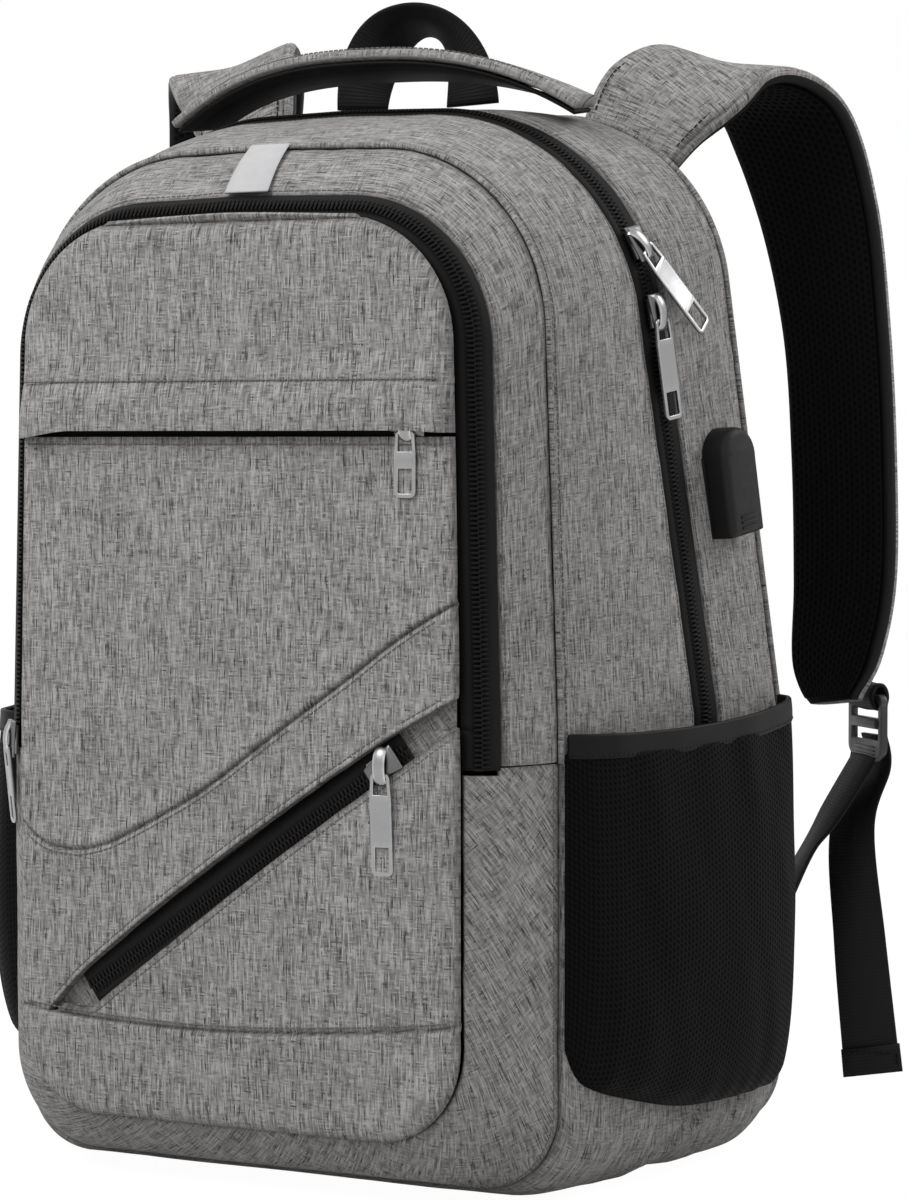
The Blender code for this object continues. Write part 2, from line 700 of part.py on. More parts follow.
def piping():
    lift = Vector((0, 0, 2 * GAP))
    crease = curve_3d("crease", "high")
    proud = [p + lift + Vector((p.x, 0, p.z - 0.25)).normalized() * 1.9 * MM for p in crease]
    rod("crease_piping", proud, 1.4 * MM, "fabric")


def reflective_tab():
    rim, crease = STATIONS["rim"], STATIONS["crease"]
    low = Vector((0, rim["depth"], rim["top"]))
    high = Vector((0, crease["depth"], crease["top"]))
    up = (high - low).normalized()
    frame = frame_matrix((low + high) / 2, (1, 0, 0.0), up)
    half = (high - low).length / 2 - 2.2 * MM
    loop = [(-10 * MM, -half), (10 * MM, -half), (4 * MM, half), (-14 * MM, half)]
    plate("reflective_tab", [loop], "reflective", 0.8 * MM, frame @ Matrix.Translation((0, 0, 1.6 * MM)))


def side_at(y, z):
    """Half-width of the bag's side at a depth and a height."""
    names = ("crease", "belly", "zip", "heel", "back")
    spots = [(depth_at(n, z), width_at(n, z)) for n in names]
    for (y0, w0), (y1, w1) in zip(spots, spots[1:]):
        if y <= y1:
            return w0 + (w1 - w0) * (max(y, y0) - y0) / (y1 - y0)
    return spots[-1][1]


POCKET_FRONT, POCKET_BACK = -54 * MM, 91 * MM
POCKET_FLOOR = ((-54 * MM, 62 * MM), (-45 * MM, 47 * MM), (-15 * MM, 37 * MM), (25 * MM, 29 * MM),
                (75 * MM, 29 * MM), (91 * MM, 34 * MM))
POCKET_BULGE = 22 * MM
POCKET_HEM = 10 * MM


def pocket_floor(y):
    for (y0, z0), (y1, z1) in zip(POCKET_FLOOR, POCKET_FLOOR[1:]):
        if y <= y1:
            return z0 + (z1 - z0) * (max(y, y0) - y0) / (y1 - y0)
    return POCKET_FLOOR[-1][1]


def pocket_mouth(u):
    """Height of the pocket's upper edge, which climbs to the back and sags a little."""
    return 187 * MM + 8 * MM * u - 3 * MM * math.sin(math.pi * u)


def pocket_point(side, u, z, lift):
    """On the mesh pocket: u runs from its front edge to its back edge."""
    y = POCKET_FRONT + (POCKET_BACK - POCKET_FRONT) * u
    rise = min(1.0, max(0.0, (z - pocket_floor(y)) / (pocket_mouth(u) - pocket_floor(y))))
    fullness = 1.0 if side > 0 else 1.2
    across = max(0.0, math.sin(math.pi * u ** 1.3)) ** 0.4
    bulge = POCKET_BULGE * fullness * across * rise ** 0.4 * (1.5 - 0.9 * rise)
    return Vector((side * (side_at(y, z) + lift + bulge), y, z))


def side_pocket(side, name):
    columns, rows = 10, 6
    lift = 2.7 * MM
    grid = []
    for r in range(rows + 1):
        row = []
        for c in range(columns + 1):
            u = c / columns
            low = pocket_floor(POCKET_FRONT + (POCKET_BACK - POCKET_FRONT) * u)
            net_top = pocket_mouth(u) - POCKET_HEM - GAP
            row.append(pocket_point(side, u, low + (net_top - low) * r / rows, lift))
        grid.append(row if side < 0 else row[::-1])
    sheet("side_pocket_" + name, grid, "mesh", 1.2 * MM)
    hem = []
    for r in range(3):
        row = [pocket_point(side, c / columns, pocket_mouth(c / columns) - POCKET_HEM * (1 - r / 2),
                            lift + 0.7 * MM) for c in range(columns + 1)]
        hem.append(row if side < 0 else row[::-1])
    sheet("pocket_hem_" + name, hem, "webbing", 2.2 * MM)


USB_AT = (58 * MM, 285 * MM)       # depth and height of the charging port


def usb_port():
    y, z = USB_AT
    zip_x, back_x = width_at("zip", z), width_at("back", z)
    zip_y, back_y = depth_at("zip", z), depth_at("back", z)
    x = zip_x + (back_x - zip_x) * (y - zip_y) / (back_y - zip_y)
    back_way = Vector((back_x - zip_x, back_y - zip_y, 0)).normalized()
    along = Vector((-0.07, -0.14, 1)).normalized()
    out = back_way.cross(along).normalized()
    frame = frame_matrix(Vector((x, y, z)) + out * 0.6 * MM, out.cross(along) * -1, along)
    half_w, half_h, deep = 12 * MM, 22.5 * MM, 12 * MM
    dome = [(half_w * math.cos(math.radians(a)), half_h - half_w + half_w * math.sin(math.radians(a)))
            for a in range(0, 181, 20)]
    loop = [(half_w, -half_h)] + dome + [(-half_w, -half_h)]
    rise = Matrix.Translation((0, 0, deep / 2))
    block = plate("hood_block", [loop], "rubber", deep, frame @ rise)
    hood = place(mesh_of(block), "usb_hood", "rubber")
    pocket = box("cutter", (13.0 * MM, 30 * MM, 6.0 * MM), (0, -half_h, 5.6 * MM), "rubber", frame)
    hood = boolean(hood, pocket, "DIFFERENCE")
    shell = box("usb_socket", (12.4 * MM, 13.6 * MM, 5.4 * MM), (0, -half_h + 7.6 * MM, 5.6 * MM),
                "gunmetal", frame)
    inner = box("cutter", (11.4 * MM, 13.6 * MM, 4.4 * MM), (0, -half_h + 6.6 * MM, 5.6 * MM),
                "gunmetal", frame)
    boolean(shell, inner, "DIFFERENCE")
    box("usb_tongue", (9.6 * MM, 10.6 * MM, 1.5 * MM), (0, -half_h + 7.4 * MM, 6.6 * MM), "plastic",
        frame)


# ---------------------------------------------------------------- handles and straps

def smooth(points, steps):
    """Points along a smooth path through the given ones, as (point, side) pairs are interpolated."""
    made = []
    last = len(points) - 1
    for k in range(last):
        p0, p1 = points[max(k - 1, 0)], points[k]
        p2, p3 = points[k + 1], points[min(k + 2, last)]
        for j in range(steps):
            t = j / steps
            made.append([0.5 * (2 * b + (c - a) * t + (2 * a - 5 * b + 4 * c - d) * t * t
                                + (3 * b - a - 3 * c + d) * t ** 3)
                         for a, b, c, d in zip(p0, p1, p2, p3)])
    made.append(list(points[last]))
    return made


def ribbon(name, stations, thickness, rise, finish, soft=0.0, start=0.0, end=0.0, side_of=1):
    """A band through (centre, side vector) stations. Its outer face is on the left of its run seen
    with the side vector pointing away; rise lifts it to that side. Start and end shorten it."""
    sections = []
    last = len(stations) - 1
    for k, (centre, side) in enumerate(stations):
        run = (stations[min(k + 1, last)][0] - stations[max(k - 1, 0)][0]).normalized()
        across = side - run * side.dot(run)
        half = side.length / 2
        across.normalize()
        up = across.cross(run)
        if k == 0:
            centre = centre + run * start
        if k == last:
            centre = centre - run * end
        h = thickness / 2
        s = min(soft, half * 0.6)
        corners = [(half, -h + h * 0.6), (half, h - h * 0.6), (half - s, h), (-half + s, h),
                   (-half, h - h * 0.6), (-half, -h + h * 0.6), (-half + s, -h), (half - s, -h)]
        if soft == 0.0:
            corners = [(half, -h), (half, h), (-half, h), (-half, -h)]
        sections.append([centre + across * a + up * (b + rise) for a, b in corners])
    if side_of < 0:
        sections = [[Vector((-p.x, p.y, p.z)) for p in section] for section in sections]
    return swept(name, sections, finish)


def vec(x, y, z):
    return Vector((x * MM, y * MM, z * MM))


def eased(path, steps):
    """More stations along a path of (centre, side vector), so that a twist is gradual."""
    rows = smooth([list(p) + list(w) for p, w in path], steps)
    return [(Vector(row[:3]), Vector(row[3:])) for row in rows]


HANDLE_TOP_Z = 461.5 * MM
HANDLE_Y = 34 * MM


def carry_handle():
    stations = []
    for k in range(13):
        angle = math.pi * (k / 12)
        x = -90 * MM * math.cos(angle)
        z = 442 * MM + (HANDLE_TOP_Z - 442 * MM) * math.sin(angle) ** 0.8
        wide = 13 * MM + 19 * MM * math.sin(angle) ** 0.5
        y = HANDLE_Y - 13 * MM * math.sin(angle) ** 2
        stations.append((Vector((x, y, z)), Vector((0, wide, -6 * MM * math.sin(angle)))))
    ribbon("carry_handle", stations, 6 * MM, -2.2 * MM, "fabric", 4 * MM)
    ribbon("carry_handle_underside", stations, 1.6 * MM, 3.2 * MM, "webbing", 0, 2 * MM, 2 * MM)


def haul_loop():
    stations = []
    for k in range(17):
        angle = math.pi * (k / 16)
        twist = math.sin(angle)
        x = 1.5 * MM - 27 * MM * math.cos(angle) * (1 - 0.1 * twist)
        z = 446 * MM + 38 * MM * twist ** 0.8
        side = Vector((math.cos(angle) * WEB_WIDTH, 21 * MM * twist, -12 * MM * twist))
        stations.append((Vector((x, 58 * MM + 2 * MM * twist, z)), side))
    ribbon("haul_loop", stations, 2.2 * MM, 0, "webbing")


STRAP_ROOT = vec(96, 78, 426)
ANCHOR = vec(132, 104, 75)


def strap_path(side):
    """Centre and width of a shoulder strap from its root to its lower end, mirrored for the left.
    The left strap stands a little taller and wider."""
    path = [
        (96, 78, 426, 54, 2, -28), (106, 92, 447.5, 59, 4, -23), (121.5, 117, 459, 62, 4, -12),
        (137, 142.5, 444, 63, -5, -11), (147.5, 157, 404, 60, -11, -9),
        (153.5, 165.5, 351, 54, -13, -5), (156.5, 167.5, 295, 53, -14, 0),
        (158, 165.5, 240, 52, -15, 0), (156, 160.5, 204, 45, -17, 0), (157, 158, 187, 25, -12, 0),
    ]
    if side < 0:
        taller, wider = (0, 6, 10, 9, 4, 1, 0, 0, 0, 0), (0, 1, 3, 4, 4, 3, 3, 2, 0, 0)
        path = [(x + dx, y, z + dz, a, b, c) for (x, y, z, a, b, c), dx, dz in zip(path, wider, taller)]
    return [(vec(x, y, z), vec(a, b, c)) for x, y, z, a, b, c in path]


def strap_stations(side, steps=3):
    return eased(strap_path(side), steps)


def shoulder_strap(side, name):
    stations = strap_stations(side)
    ribbon("strap_" + name, stations, 8.5 * MM, 1.2 * MM, "fabric", 5 * MM, side_of=side)
    ribbon("strap_lining_" + name, stations, 2.0 * MM, -4.8 * MM, "mesh", 3 * MM,
           3 * MM, 2 * MM, side_of=side)
    start = vec(90, 73, 417)
    run = (STRAP_ROOT - start).normalized()
    wide = vec(53, 0, -22)
    tongue = [(start, wide), (start.lerp(STRAP_ROOT, 0.35), wide * 0.62),
              (STRAP_ROOT - run * 4.6 * MM, wide * 0.28)]
    ribbon("strap_root_" + name, tongue, 3 * MM, 0, "fabric", side_of=side)


def strap_end_frame():
    """At the bar that joins the right strap to its buckle: X along the bar, Y up, Z to the front."""
    end = strap_stations(1)[-1][0]
    return frame_matrix(end + vec(11.5, 9.4, 1), (0.724, -0.69, 0), (0, 0, 1))


def on_side(obj, side):
    """The object, or its mirror image for the left of the bag."""
    if side > 0:
        return obj
    name, finish = obj.name, obj.data.materials[0].name
    obj.name = "before"
    data = mesh_of(obj)
    data.transform(Matrix.Scale(-1, 4, (1, 0, 0)))
    data.flip_normals()
    return place(data, name, finish)


BUCKLE_BAR = 3.0 * MM


def buckle(side, name):
    frame = strap_end_frame()
    turn = frame @ frame_matrix((0, 0, 0), (0, 0, 1), (0, 1, 0))
    outer = [(x, y) for x, y in rounded_loop(4.6 * MM, 6.4 * MM, 4.5 * MM, (0, 1.8 * MM))]
    inner = [(x, y) for x, y in rounded_loop(3.0 * MM, 4.8 * MM, 2.9 * MM, (0, 1.8 * MM))]
    on_side(plate("buckle_tab_" + name, [outer, inner], "webbing", WEB_WIDTH, turn), side)
    outline = rounded_loop(17 * MM, 13.5 * MM, 4 * MM, (0, -10.7 * MM))
    top = rounded_loop(13.2 * MM, 3.6 * MM, 1 * MM, (0, -5.2 * MM), 1)
    low = rounded_loop(13.2 * MM, 3.0 * MM, 1 * MM, (0, -15.6 * MM), 1)
    on_side(plate("buckle_" + name, [outline, top, low], "plastic", BUCKLE_BAR, frame), side)


def lower_webbing(side, name):
    frame = strap_end_frame()
    top = frame @ Vector((0, -26.6 * MM, 0))
    across = frame.to_3x3() @ Vector((WEB_WIDTH, 0, 0))
    path = [(top, across), (vec(156, 157, 139), vec(17, -17, 0)), (vec(146.5, 150, 121), vec(13, -20, 0)),
            (vec(139.5, 130, 98), vec(17, -18, 0)), (ANCHOR, vec(24, -4, 0))]
    ribbon("lower_webbing_" + name, eased(path, 5), WEBBING, 0, "webbing", side_of=side)
    start = vec(120, 101.5, 16)
    wing = [(start, vec(40, 0, 0)), (start.lerp(ANCHOR, 0.93), vec(22, -2, 0))]
    ribbon("strap_anchor_" + name, wing, 3 * MM, 0, "fabric", side_of=side)


def strap_tail(side, name):
    frame = strap_end_frame()
    top = frame @ Vector((0, -15.5 * MM, -BUCKLE_BAR / 2 - 1.6 * MM))
    across = frame.to_3x3() @ Vector((WEB_WIDTH, 0, 0))
    back = frame.to_3x3() @ Vector((0, 0, -1.2 * MM))
    shown = vec(0.887, 0.462, 0)
    path = [(top, across), (top + back * 1.5 - vec(0, 0, 14), across),
            (top + back * 1.5 - shown * 11 - vec(0, 0, 42), vec(22, -3.5, 0)),
            (top + back - shown * 7 - vec(0, 0, 92), shown * 23),
            (top + back - shown - vec(0, 0, 149), shown * 25)]
    tail = ribbon("tail_" + name, eased(path, 4), WEBBING, 0, "webbing")
    end_frame = frame_matrix(path[-1][0] + vec(0, 0, 6.5), shown, path[-2][0] - path[-1][0])
    fold = box("cutter", (26 * MM, 13 * MM, 3.2 * MM), (0, 0, 0), "webbing", end_frame)
    on_side(boolean(tail, fold, "UNION"), side)


# ---------------------------------------------------------------- sliders in place

def sliders():
    upper, lower = main_slider_frames()
    turn = math.radians(27)
    slider("slider_main_upper", upper, turn)
    pull_on("pull_main_upper", upper, turn, math.radians(2), 42 * MM)
    slider("slider_main_lower", lower)
    pull_on("pull_main_lower", lower, 0.0, math.radians(1), 42 * MM)
    foot = foot_frame(-1)
    slider("slider_front", foot)
    pull_on("pull_front", foot, 0.0, length=30 * MM)
    reach = (DIAG_END - DIAG_START).length / 2 - DIAG_SLIDER_AT
    diag = diag_frame() @ Matrix.Translation((reach, 0, 0))
    along = DIAG_END - DIAG_START
    upright = math.pi / 2 - math.atan2(along.z, along.x)
    slider("slider_diagonal", diag, upright)
    pull_on("pull_diagonal", diag, upright)
    at_flap = flap_frame() @ Matrix.Translation((FLAP_SLIDER_X, 0, 0))
    low_slider(at_flap)


FLAP_SLIDER_X = 80 * MM


def low_slider(frame):
    """The flap's slider has a flat crown, so that it lies under the flap."""
    upright = math.pi / 2
    slider("slider_flap", frame, upright, 4.3 * MM, 0.9 * MM)
    at = frame @ Matrix.Rotation(upright, 4, "Z") @ Matrix.Translation((0, 0, 4.3 * MM))
    pull_tab("pull_flap", at, 29 * MM)


# ---------------------------------------------------------------- everything

def main():
    body_shell()
    front_panels()
    dividers()
    back_and_inside()
    main_zip()
    front_zip()
    pocket_zips()
    piping()
    reflective_tab()
    usb_port()
    carry_handle()
    haul_loop()
    for side, name in ((1, "right"), (-1, "left")):
        side_pocket(side, name)
        shoulder_strap(side, name)
        buckle(side, name)
        lower_webbing(side, name)
        strap_tail(side, name)
    sliders()


clear_scene()
BAG = collection("backpack")
main()
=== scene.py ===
"""Laptop backpack with a charging port: its cloth, zips, straps and fittings, and the studio round them.

Metres, +Z up. The organiser faces -Y, the wearer's back is at +Y and the charging port is on +X.
The file is laid out as an add-on and run as a script.
"""

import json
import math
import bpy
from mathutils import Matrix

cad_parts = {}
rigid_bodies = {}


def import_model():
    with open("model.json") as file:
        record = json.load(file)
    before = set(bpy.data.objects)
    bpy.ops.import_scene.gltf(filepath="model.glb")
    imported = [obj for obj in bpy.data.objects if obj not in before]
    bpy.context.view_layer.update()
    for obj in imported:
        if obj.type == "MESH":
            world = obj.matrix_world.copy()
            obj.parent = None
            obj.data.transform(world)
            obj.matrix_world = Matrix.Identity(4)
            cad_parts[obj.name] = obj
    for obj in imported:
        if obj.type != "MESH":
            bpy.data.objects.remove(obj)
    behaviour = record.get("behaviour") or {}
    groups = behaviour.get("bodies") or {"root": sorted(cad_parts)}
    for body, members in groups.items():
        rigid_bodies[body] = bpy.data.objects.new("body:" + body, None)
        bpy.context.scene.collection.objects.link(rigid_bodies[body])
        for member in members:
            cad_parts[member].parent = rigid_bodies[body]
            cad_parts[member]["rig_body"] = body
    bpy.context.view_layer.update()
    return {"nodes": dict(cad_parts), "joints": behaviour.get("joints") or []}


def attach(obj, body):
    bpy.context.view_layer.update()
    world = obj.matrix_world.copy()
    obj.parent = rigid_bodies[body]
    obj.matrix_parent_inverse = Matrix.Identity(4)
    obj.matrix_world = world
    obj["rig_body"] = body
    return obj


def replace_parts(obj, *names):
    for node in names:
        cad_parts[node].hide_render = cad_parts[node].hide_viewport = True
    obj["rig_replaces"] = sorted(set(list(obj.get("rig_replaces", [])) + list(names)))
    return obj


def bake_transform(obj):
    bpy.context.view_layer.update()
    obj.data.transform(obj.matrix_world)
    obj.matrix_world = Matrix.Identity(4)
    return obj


bl_info = {
    "name": "Laptop backpack",
    "version": (1, 0, 0),
    "blender": (4, 5, 0),
    "location": "View3D > Sidebar > Backpack",
    "description": "Builds the cloth, zips, straps and fittings of a laptop backpack on its frame",
    "category": "Object",
}

import bmesh
import bpy
import numpy as np
from mathutils import Matrix, Vector

for startup in list(bpy.data.objects):
    bpy.data.objects.remove(startup, do_unlink=True)
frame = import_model()

MM = 0.001

# ---------------------------------------------------------------- the bag's construction lines

FOLD_Z = 190 * MM          # height at which the front folds forward when it is unzipped
FRONT_Y = -98 * MM         # face of the front panels
TUCK_Z = 176 * MM          # the gussets end here, under the pocket hems
ZIP_FOOT_Z = 174.5 * MM    # the front zip ends here
MAIN_ZIP_HALF = 7.8 * MM   # half the width of the main zip's tape
HIGH_Z = 303 * MM          # height of the upper half-widths below
CROWN = 3 * MM             # how much the top of the outlines is arched
GUSSET_THICK = 2.2 * MM
MIDDLE = np.array([0, 0.01, 0.22])      # the soft shell swells away from here
LOW_MIDDLE = np.array([0, 0.01, 0.12])
FRONT = np.array([0.0, -1.0, 0.0])

# Closed outlines seen from the front, each at one depth: half-widths below and above the fold, floor
# and top, bottom and top corner radii, depth at the fold and at the top.
STATIONS = {
    "face": (0.102, 0.0997, 0.027, 0.3915, 0.038, 0.050, -0.093, -0.093),
    "rim": (0.113, 0.110, 0.012, 0.3995, 0.040, 0.062, -0.083, -0.083),
    "crease": (0.125, 0.121, 0.004, 0.4205, 0.034, 0.075, -0.055, -0.055),
    "belly": (0.132, 0.126, 0.0, 0.4255, 0.030, 0.066, -0.038, -0.038),
    "zip": (0.147, 0.1365, 0.0, 0.440, 0.030, 0.092, 0.039, 0.004),
    "heel": (0.1545, 0.1455, 0.0, 0.441, 0.030, 0.076, 0.080, 0.050),
    "back": (0.156, 0.147, 0.007, 0.441, 0.030, 0.075, 0.094, 0.060),
}

# Seams of the front panels, as (x, z).
CURVED_SEAM = [(-104, 150), (-99, 146), (-92, 140.5), (-84, 137), (-72, 136), (-60, 138.5), (-48, 143.5),
               (-14, 161.5), (18, 184), (54, 209), (76, 225), (108, 244)]
BOTTOM_SEAM = [(-104, 71), (-97, 70), (-60, 67), (-15, 66), (31, 68), (76, 72), (108, 76)]
SLOT_TOP = [(-86, 69.5), (-79, 77), (-69.5, 86.3), (-52, 100.5), (-29.1, 118.1), (-12.1, 130.4), (4.7, 142.5),
            (21.3, 153.6), (37.7, 164.7), (53.9, 175.2), (75.2, 188.6), (108, 206.5)]
SLOT_LOW = [(-86, 69), (-77, 69.4), (-69, 70.6), (-63.6, 72.8), (-52, 81.4), (-29.1, 98.7), (-12.1, 111.5),
            (4.7, 124.1), (21.3, 136.2), (37.7, 147.7), (53.9, 159.1), (75.2, 173.2), (108, 196)]
DIAG_LOW = (-66 * MM, 79.5 * MM)
DIAG_HIGH = (79 * MM, 182 * MM)
FLAP_Z = 306 * MM
FLAP_SEAM_Z = 325.5 * MM
FLAP_ZIP_Z = 309 * MM


def fillet(before, corner, after, radius, steps):
    """The arc that rounds a corner of an outline."""
    corner = np.array(corner, float)
    to_before, to_after = np.array(before) - corner, np.array(after) - corner
    to_before /= np.linalg.norm(to_before)
    to_after /= np.linalg.norm(to_after)
    half = math.acos(float(to_before @ to_after)) / 2
    middle = to_before + to_after
    centre = corner + middle / np.linalg.norm(middle) * radius / math.sin(half)
    start = corner + to_before * radius / math.tan(half) - centre
    end = corner + to_after * radius / math.tan(half) - centre
    first = math.atan2(start[1], start[0])
    sweep = math.atan2(end[1], end[0]) - first
    turn = first + sweep * np.linspace(0, 1, steps + 1)
    return centre + radius * np.stack([np.cos(turn), np.sin(turn)], 1)


def line_2d(a, b, steps):
    """Points from a up to b, without b."""
    return np.array(a) + (np.array(b) - np.array(a)) * np.linspace(0, 1, steps, endpoint=False)[:, None]


def half_high(station, low=FOLD_Z):
    """Right half of an outline as (x, z), from low up and over to the middle of the top."""
    wide, high, _, top, _, top_r, _, _ = STATIONS[station]
    slope = (wide - high) / (HIGH_Z - FOLD_Z)
    shoulder = (wide - slope * (top - CROWN - FOLD_Z), top - CROWN)
    arc = fillet((wide, FOLD_Z), shoulder, (0, top), top_r, 40)
    parts = [line_2d((wide, FOLD_Z), arc[0], 48), arc[:-1], line_2d(arc[-1], (0, top), 40), [(0, top)]]
    if low < FOLD_Z:
        parts.insert(0, line_2d((wide, low), (wide, FOLD_Z), 8))
    return np.concatenate(parts)


def half_low(station, high=FOLD_Z):
    """Right half of an outline from high down the side and under to the middle of the bottom."""
    wide, _, floor, _, low_r, _, _, _ = STATIONS[station]
    arc = fillet((wide, high), (wide, floor), (0, floor), low_r, 26)
    return np.concatenate([line_2d((wide, high), arc[0], 40), arc[:-1], line_2d(arc[-1], (0, floor), 44),
                           [(0, floor)]])


def depth_at(station, z):
    """A station stands upright up to the fold and leans forward above it."""
    s = STATIONS[station]
    return s[6] + (s[7] - s[6]) * np.maximum(0.0, (z - FOLD_Z) / (s[3] - FOLD_Z))


def whole(station, half):
    """Both halves of an outline as points, from its right end to its left end."""
    both = np.concatenate([half, (half * (-1, 1))[-2::-1]])
    return np.stack([both[:, 0], depth_at(station, both[:, 1]), both[:, 1]], 1)


def high_line(station, low=FOLD_Z):
    return whole(station, half_high(station, low))


def low_line(station, high=FOLD_Z):
    return whole(station, half_low(station, high))


def width_at(station, z):
    """Half-width of a station at heights z."""
    side = np.concatenate([half_low(station)[::-1][:-1], half_high(station)])
    order = np.argsort(side[:, 1], kind="stable")
    return np.interp(z, side[order, 1], side[order, 0])


def side_at(y, z):
    """Half-width of the bag's side at depths and heights."""
    names = ("crease", "belly", "zip", "heel", "back")
    y, z = np.broadcast_arrays(np.asarray(y, float), np.asarray(z, float))
    depths = np.stack([depth_at(n, z) for n in names])
    widths = np.stack([width_at(n, z) for n in names])
    made = widths[-1].copy()
    for k in range(len(names) - 2, -1, -1):
        share = np.clip((y - depths[k]) / (depths[k + 1] - depths[k]), 0, 1)
        made = np.where(y <= depths[k + 1], widths[k] + (widths[k + 1] - widths[k]) * share, made)
    return made


# ---------------------------------------------------------------- grids of points

def unit(v):
    return v / np.maximum(np.linalg.norm(v, axis=-1, keepdims=True), 1e-12)


def everywhere(direction, points):
    """The same direction for each of these points."""
    return np.tile(direction, (len(points), 1))


def smooth_step(x):
    x = np.clip(x, 0, 1)
    return x * x * (3 - 2 * x)


def wander(u, v, seed):
    """Smooth values from -1 to 1 over (u, v), one bump to a unit."""
    i, j = np.floor(u), np.floor(v)
    f, g = smooth_step(u - i), smooth_step(v - j)

    def knot(a, b):
        value = np.sin(a * 127.1 + b * 311.7 + seed * 74.7) * 43758.5453
        return 2 * (value - np.floor(value)) - 1
    low = knot(i, j) * (1 - f) + knot(i + 1, j) * f
    high = knot(i, j + 1) * (1 - f) + knot(i + 1, j + 1) * f
    return low * (1 - g) + high * g


def ripple(x, z, wide, high, seed):
    """Wander over metres, with bumps of a size in millimetres."""
    return wander(x / (wide * MM), z / (high * MM), seed)


def bell(x, width):
    """1 at nothing, and falling off to both sides over a width in millimetres."""
    return np.exp(-(x / (width * MM)) ** 2)


def fade(x, width):
    """1 at nothing, and dying away over a width in millimetres."""
    return np.exp(-x / (width * MM))


def normals_of(grid, outward):
    """Unit normals of a grid, on the side that outward points to."""
    across = np.gradient(grid, axis=0)
    along = np.gradient(grid, axis=1)
    n = unit(np.cross(across, along))
    return n * (1 if np.sum(n * outward) > 0 else -1)


def spaced(count, crowd=0.6):
    """Shares from 0 to 1, closer together near both ends."""
    t = np.linspace(0, 1, count)
    return t * (1 - crowd) + crowd * (1 - np.cos(np.pi * t)) / 2


def strip(front, back, rows, start=0.0, end=0.0, bulge=0.0):
    """A grid from one line to another, start and end metres in from them, and swelling in between."""
    span = back - front
    length = np.linalg.norm(span, axis=1)
    t = start / length + (1 - (start + end) / length) * spaced(rows)[:, None]
    grid = front + span * t[:, :, None]
    n = normals_of(grid, grid - MIDDLE)
    share = spaced(rows)[:, None, None]
    return grid + n * bulge * 4 * share * (1 - share)


def through(lines, per):
    """A grid that passes smoothly through several lines."""
    made = []
    last = len(lines) - 1
    for k in range(last):
        a, b, c, d = (lines[min(max(k + m, 0), last)] for m in (-1, 0, 1, 2))
        for j in range(per):
            t = j / per
            made.append(0.5 * (2 * b + (c - a) * t + (2 * a - 5 * b + 4 * c - d) * t * t
                               + (3 * b - a - 3 * c + d) * t ** 3))
    made.append(lines[-1])
    return np.array(made)


def way_along(line):
    """How far each point of a line is from its start."""
    return np.concatenate([[0], np.cumsum(np.linalg.norm(np.diff(line, axis=0), axis=1))])


def lengths(grid):
    """How far each point of a grid is along its columns and along its rows, in metres."""
    def run(axis):
        step = np.linalg.norm(np.diff(grid, axis=axis), axis=-1)
        pad = [(0, 0), (0, 0)]
        pad[axis] = (1, 0)
        return np.pad(np.cumsum(step, axis=axis), pad)
    return run(0), run(1)


def cloth_map(grid):
    """Threads' coordinates on a strip of cloth: along it, measured on its middle row, and across it."""
    down, along = lengths(grid)
    u = np.broadcast_to(along[len(grid) // 2], down.shape)
    return np.stack([down, u], -1)


def relax(grid, centre=MIDDLE, swell=0.7, size=55.0, seed=1.0):
    """Gives a sewn strip its soft unevenness: slow swells, and puckers beside its two long seams.
    Returns the grid, its normals and how near each point is to a seam, from 0 to 1, where the colour is darkened as
    grime and painted shade."""
    n = normals_of(grid, grid - centre)
    down, along = lengths(grid)
    near = np.minimum(down, down[-1] - down)
    inner = smooth_step(near / (14 * MM))
    folds = wander(down / (size * 0.6 * MM), along / (size * MM), seed) * 0.65
    folds = folds + wander(down / (size * 0.25 * MM), along / (size * 0.5 * MM), seed + 3) * 0.35
    gather = ripple(down, along, 18, 9, seed + 7) * fade(near, 7)
    dip = bell(near, 1.5)
    move = (folds * swell * inner + gather * 0.28 - dip * 0.36) * MM
    return grid + n * move[..., None], n, dip


def nearest(points, line):
    """Distance from 2D points to a line, the way along it, and the side, which is 1 above it."""
    line = np.array(line, float) * MM
    best = np.full(points.shape[:-1], 1e9)
    way = np.zeros_like(best)
    side = np.zeros_like(best)
    gone = 0.0
    for a, b in zip(line, line[1:]):
        run = b - a
        size = np.linalg.norm(run)
        t = np.clip(((points - a) @ run) / size ** 2, 0, 1)
        off = points - (a + t[..., None] * run)
        far = np.linalg.norm(off, axis=-1)
        closer = far < best
        best = np.where(closer, far, best)
        way = np.where(closer, gone + t * size, way)
        side = np.where(closer, np.sign(run[0] * off[..., 1] - run[1] * off[..., 0]), side)
        gone += size
    return best, way, side


def rounded_line(points):
    """A smooth curve through 2D points given in millimetres."""
    flat = [np.array([p], float) for p in points]
    return through(flat, 8)[:, 0]


# ---------------------------------------------------------------- materials

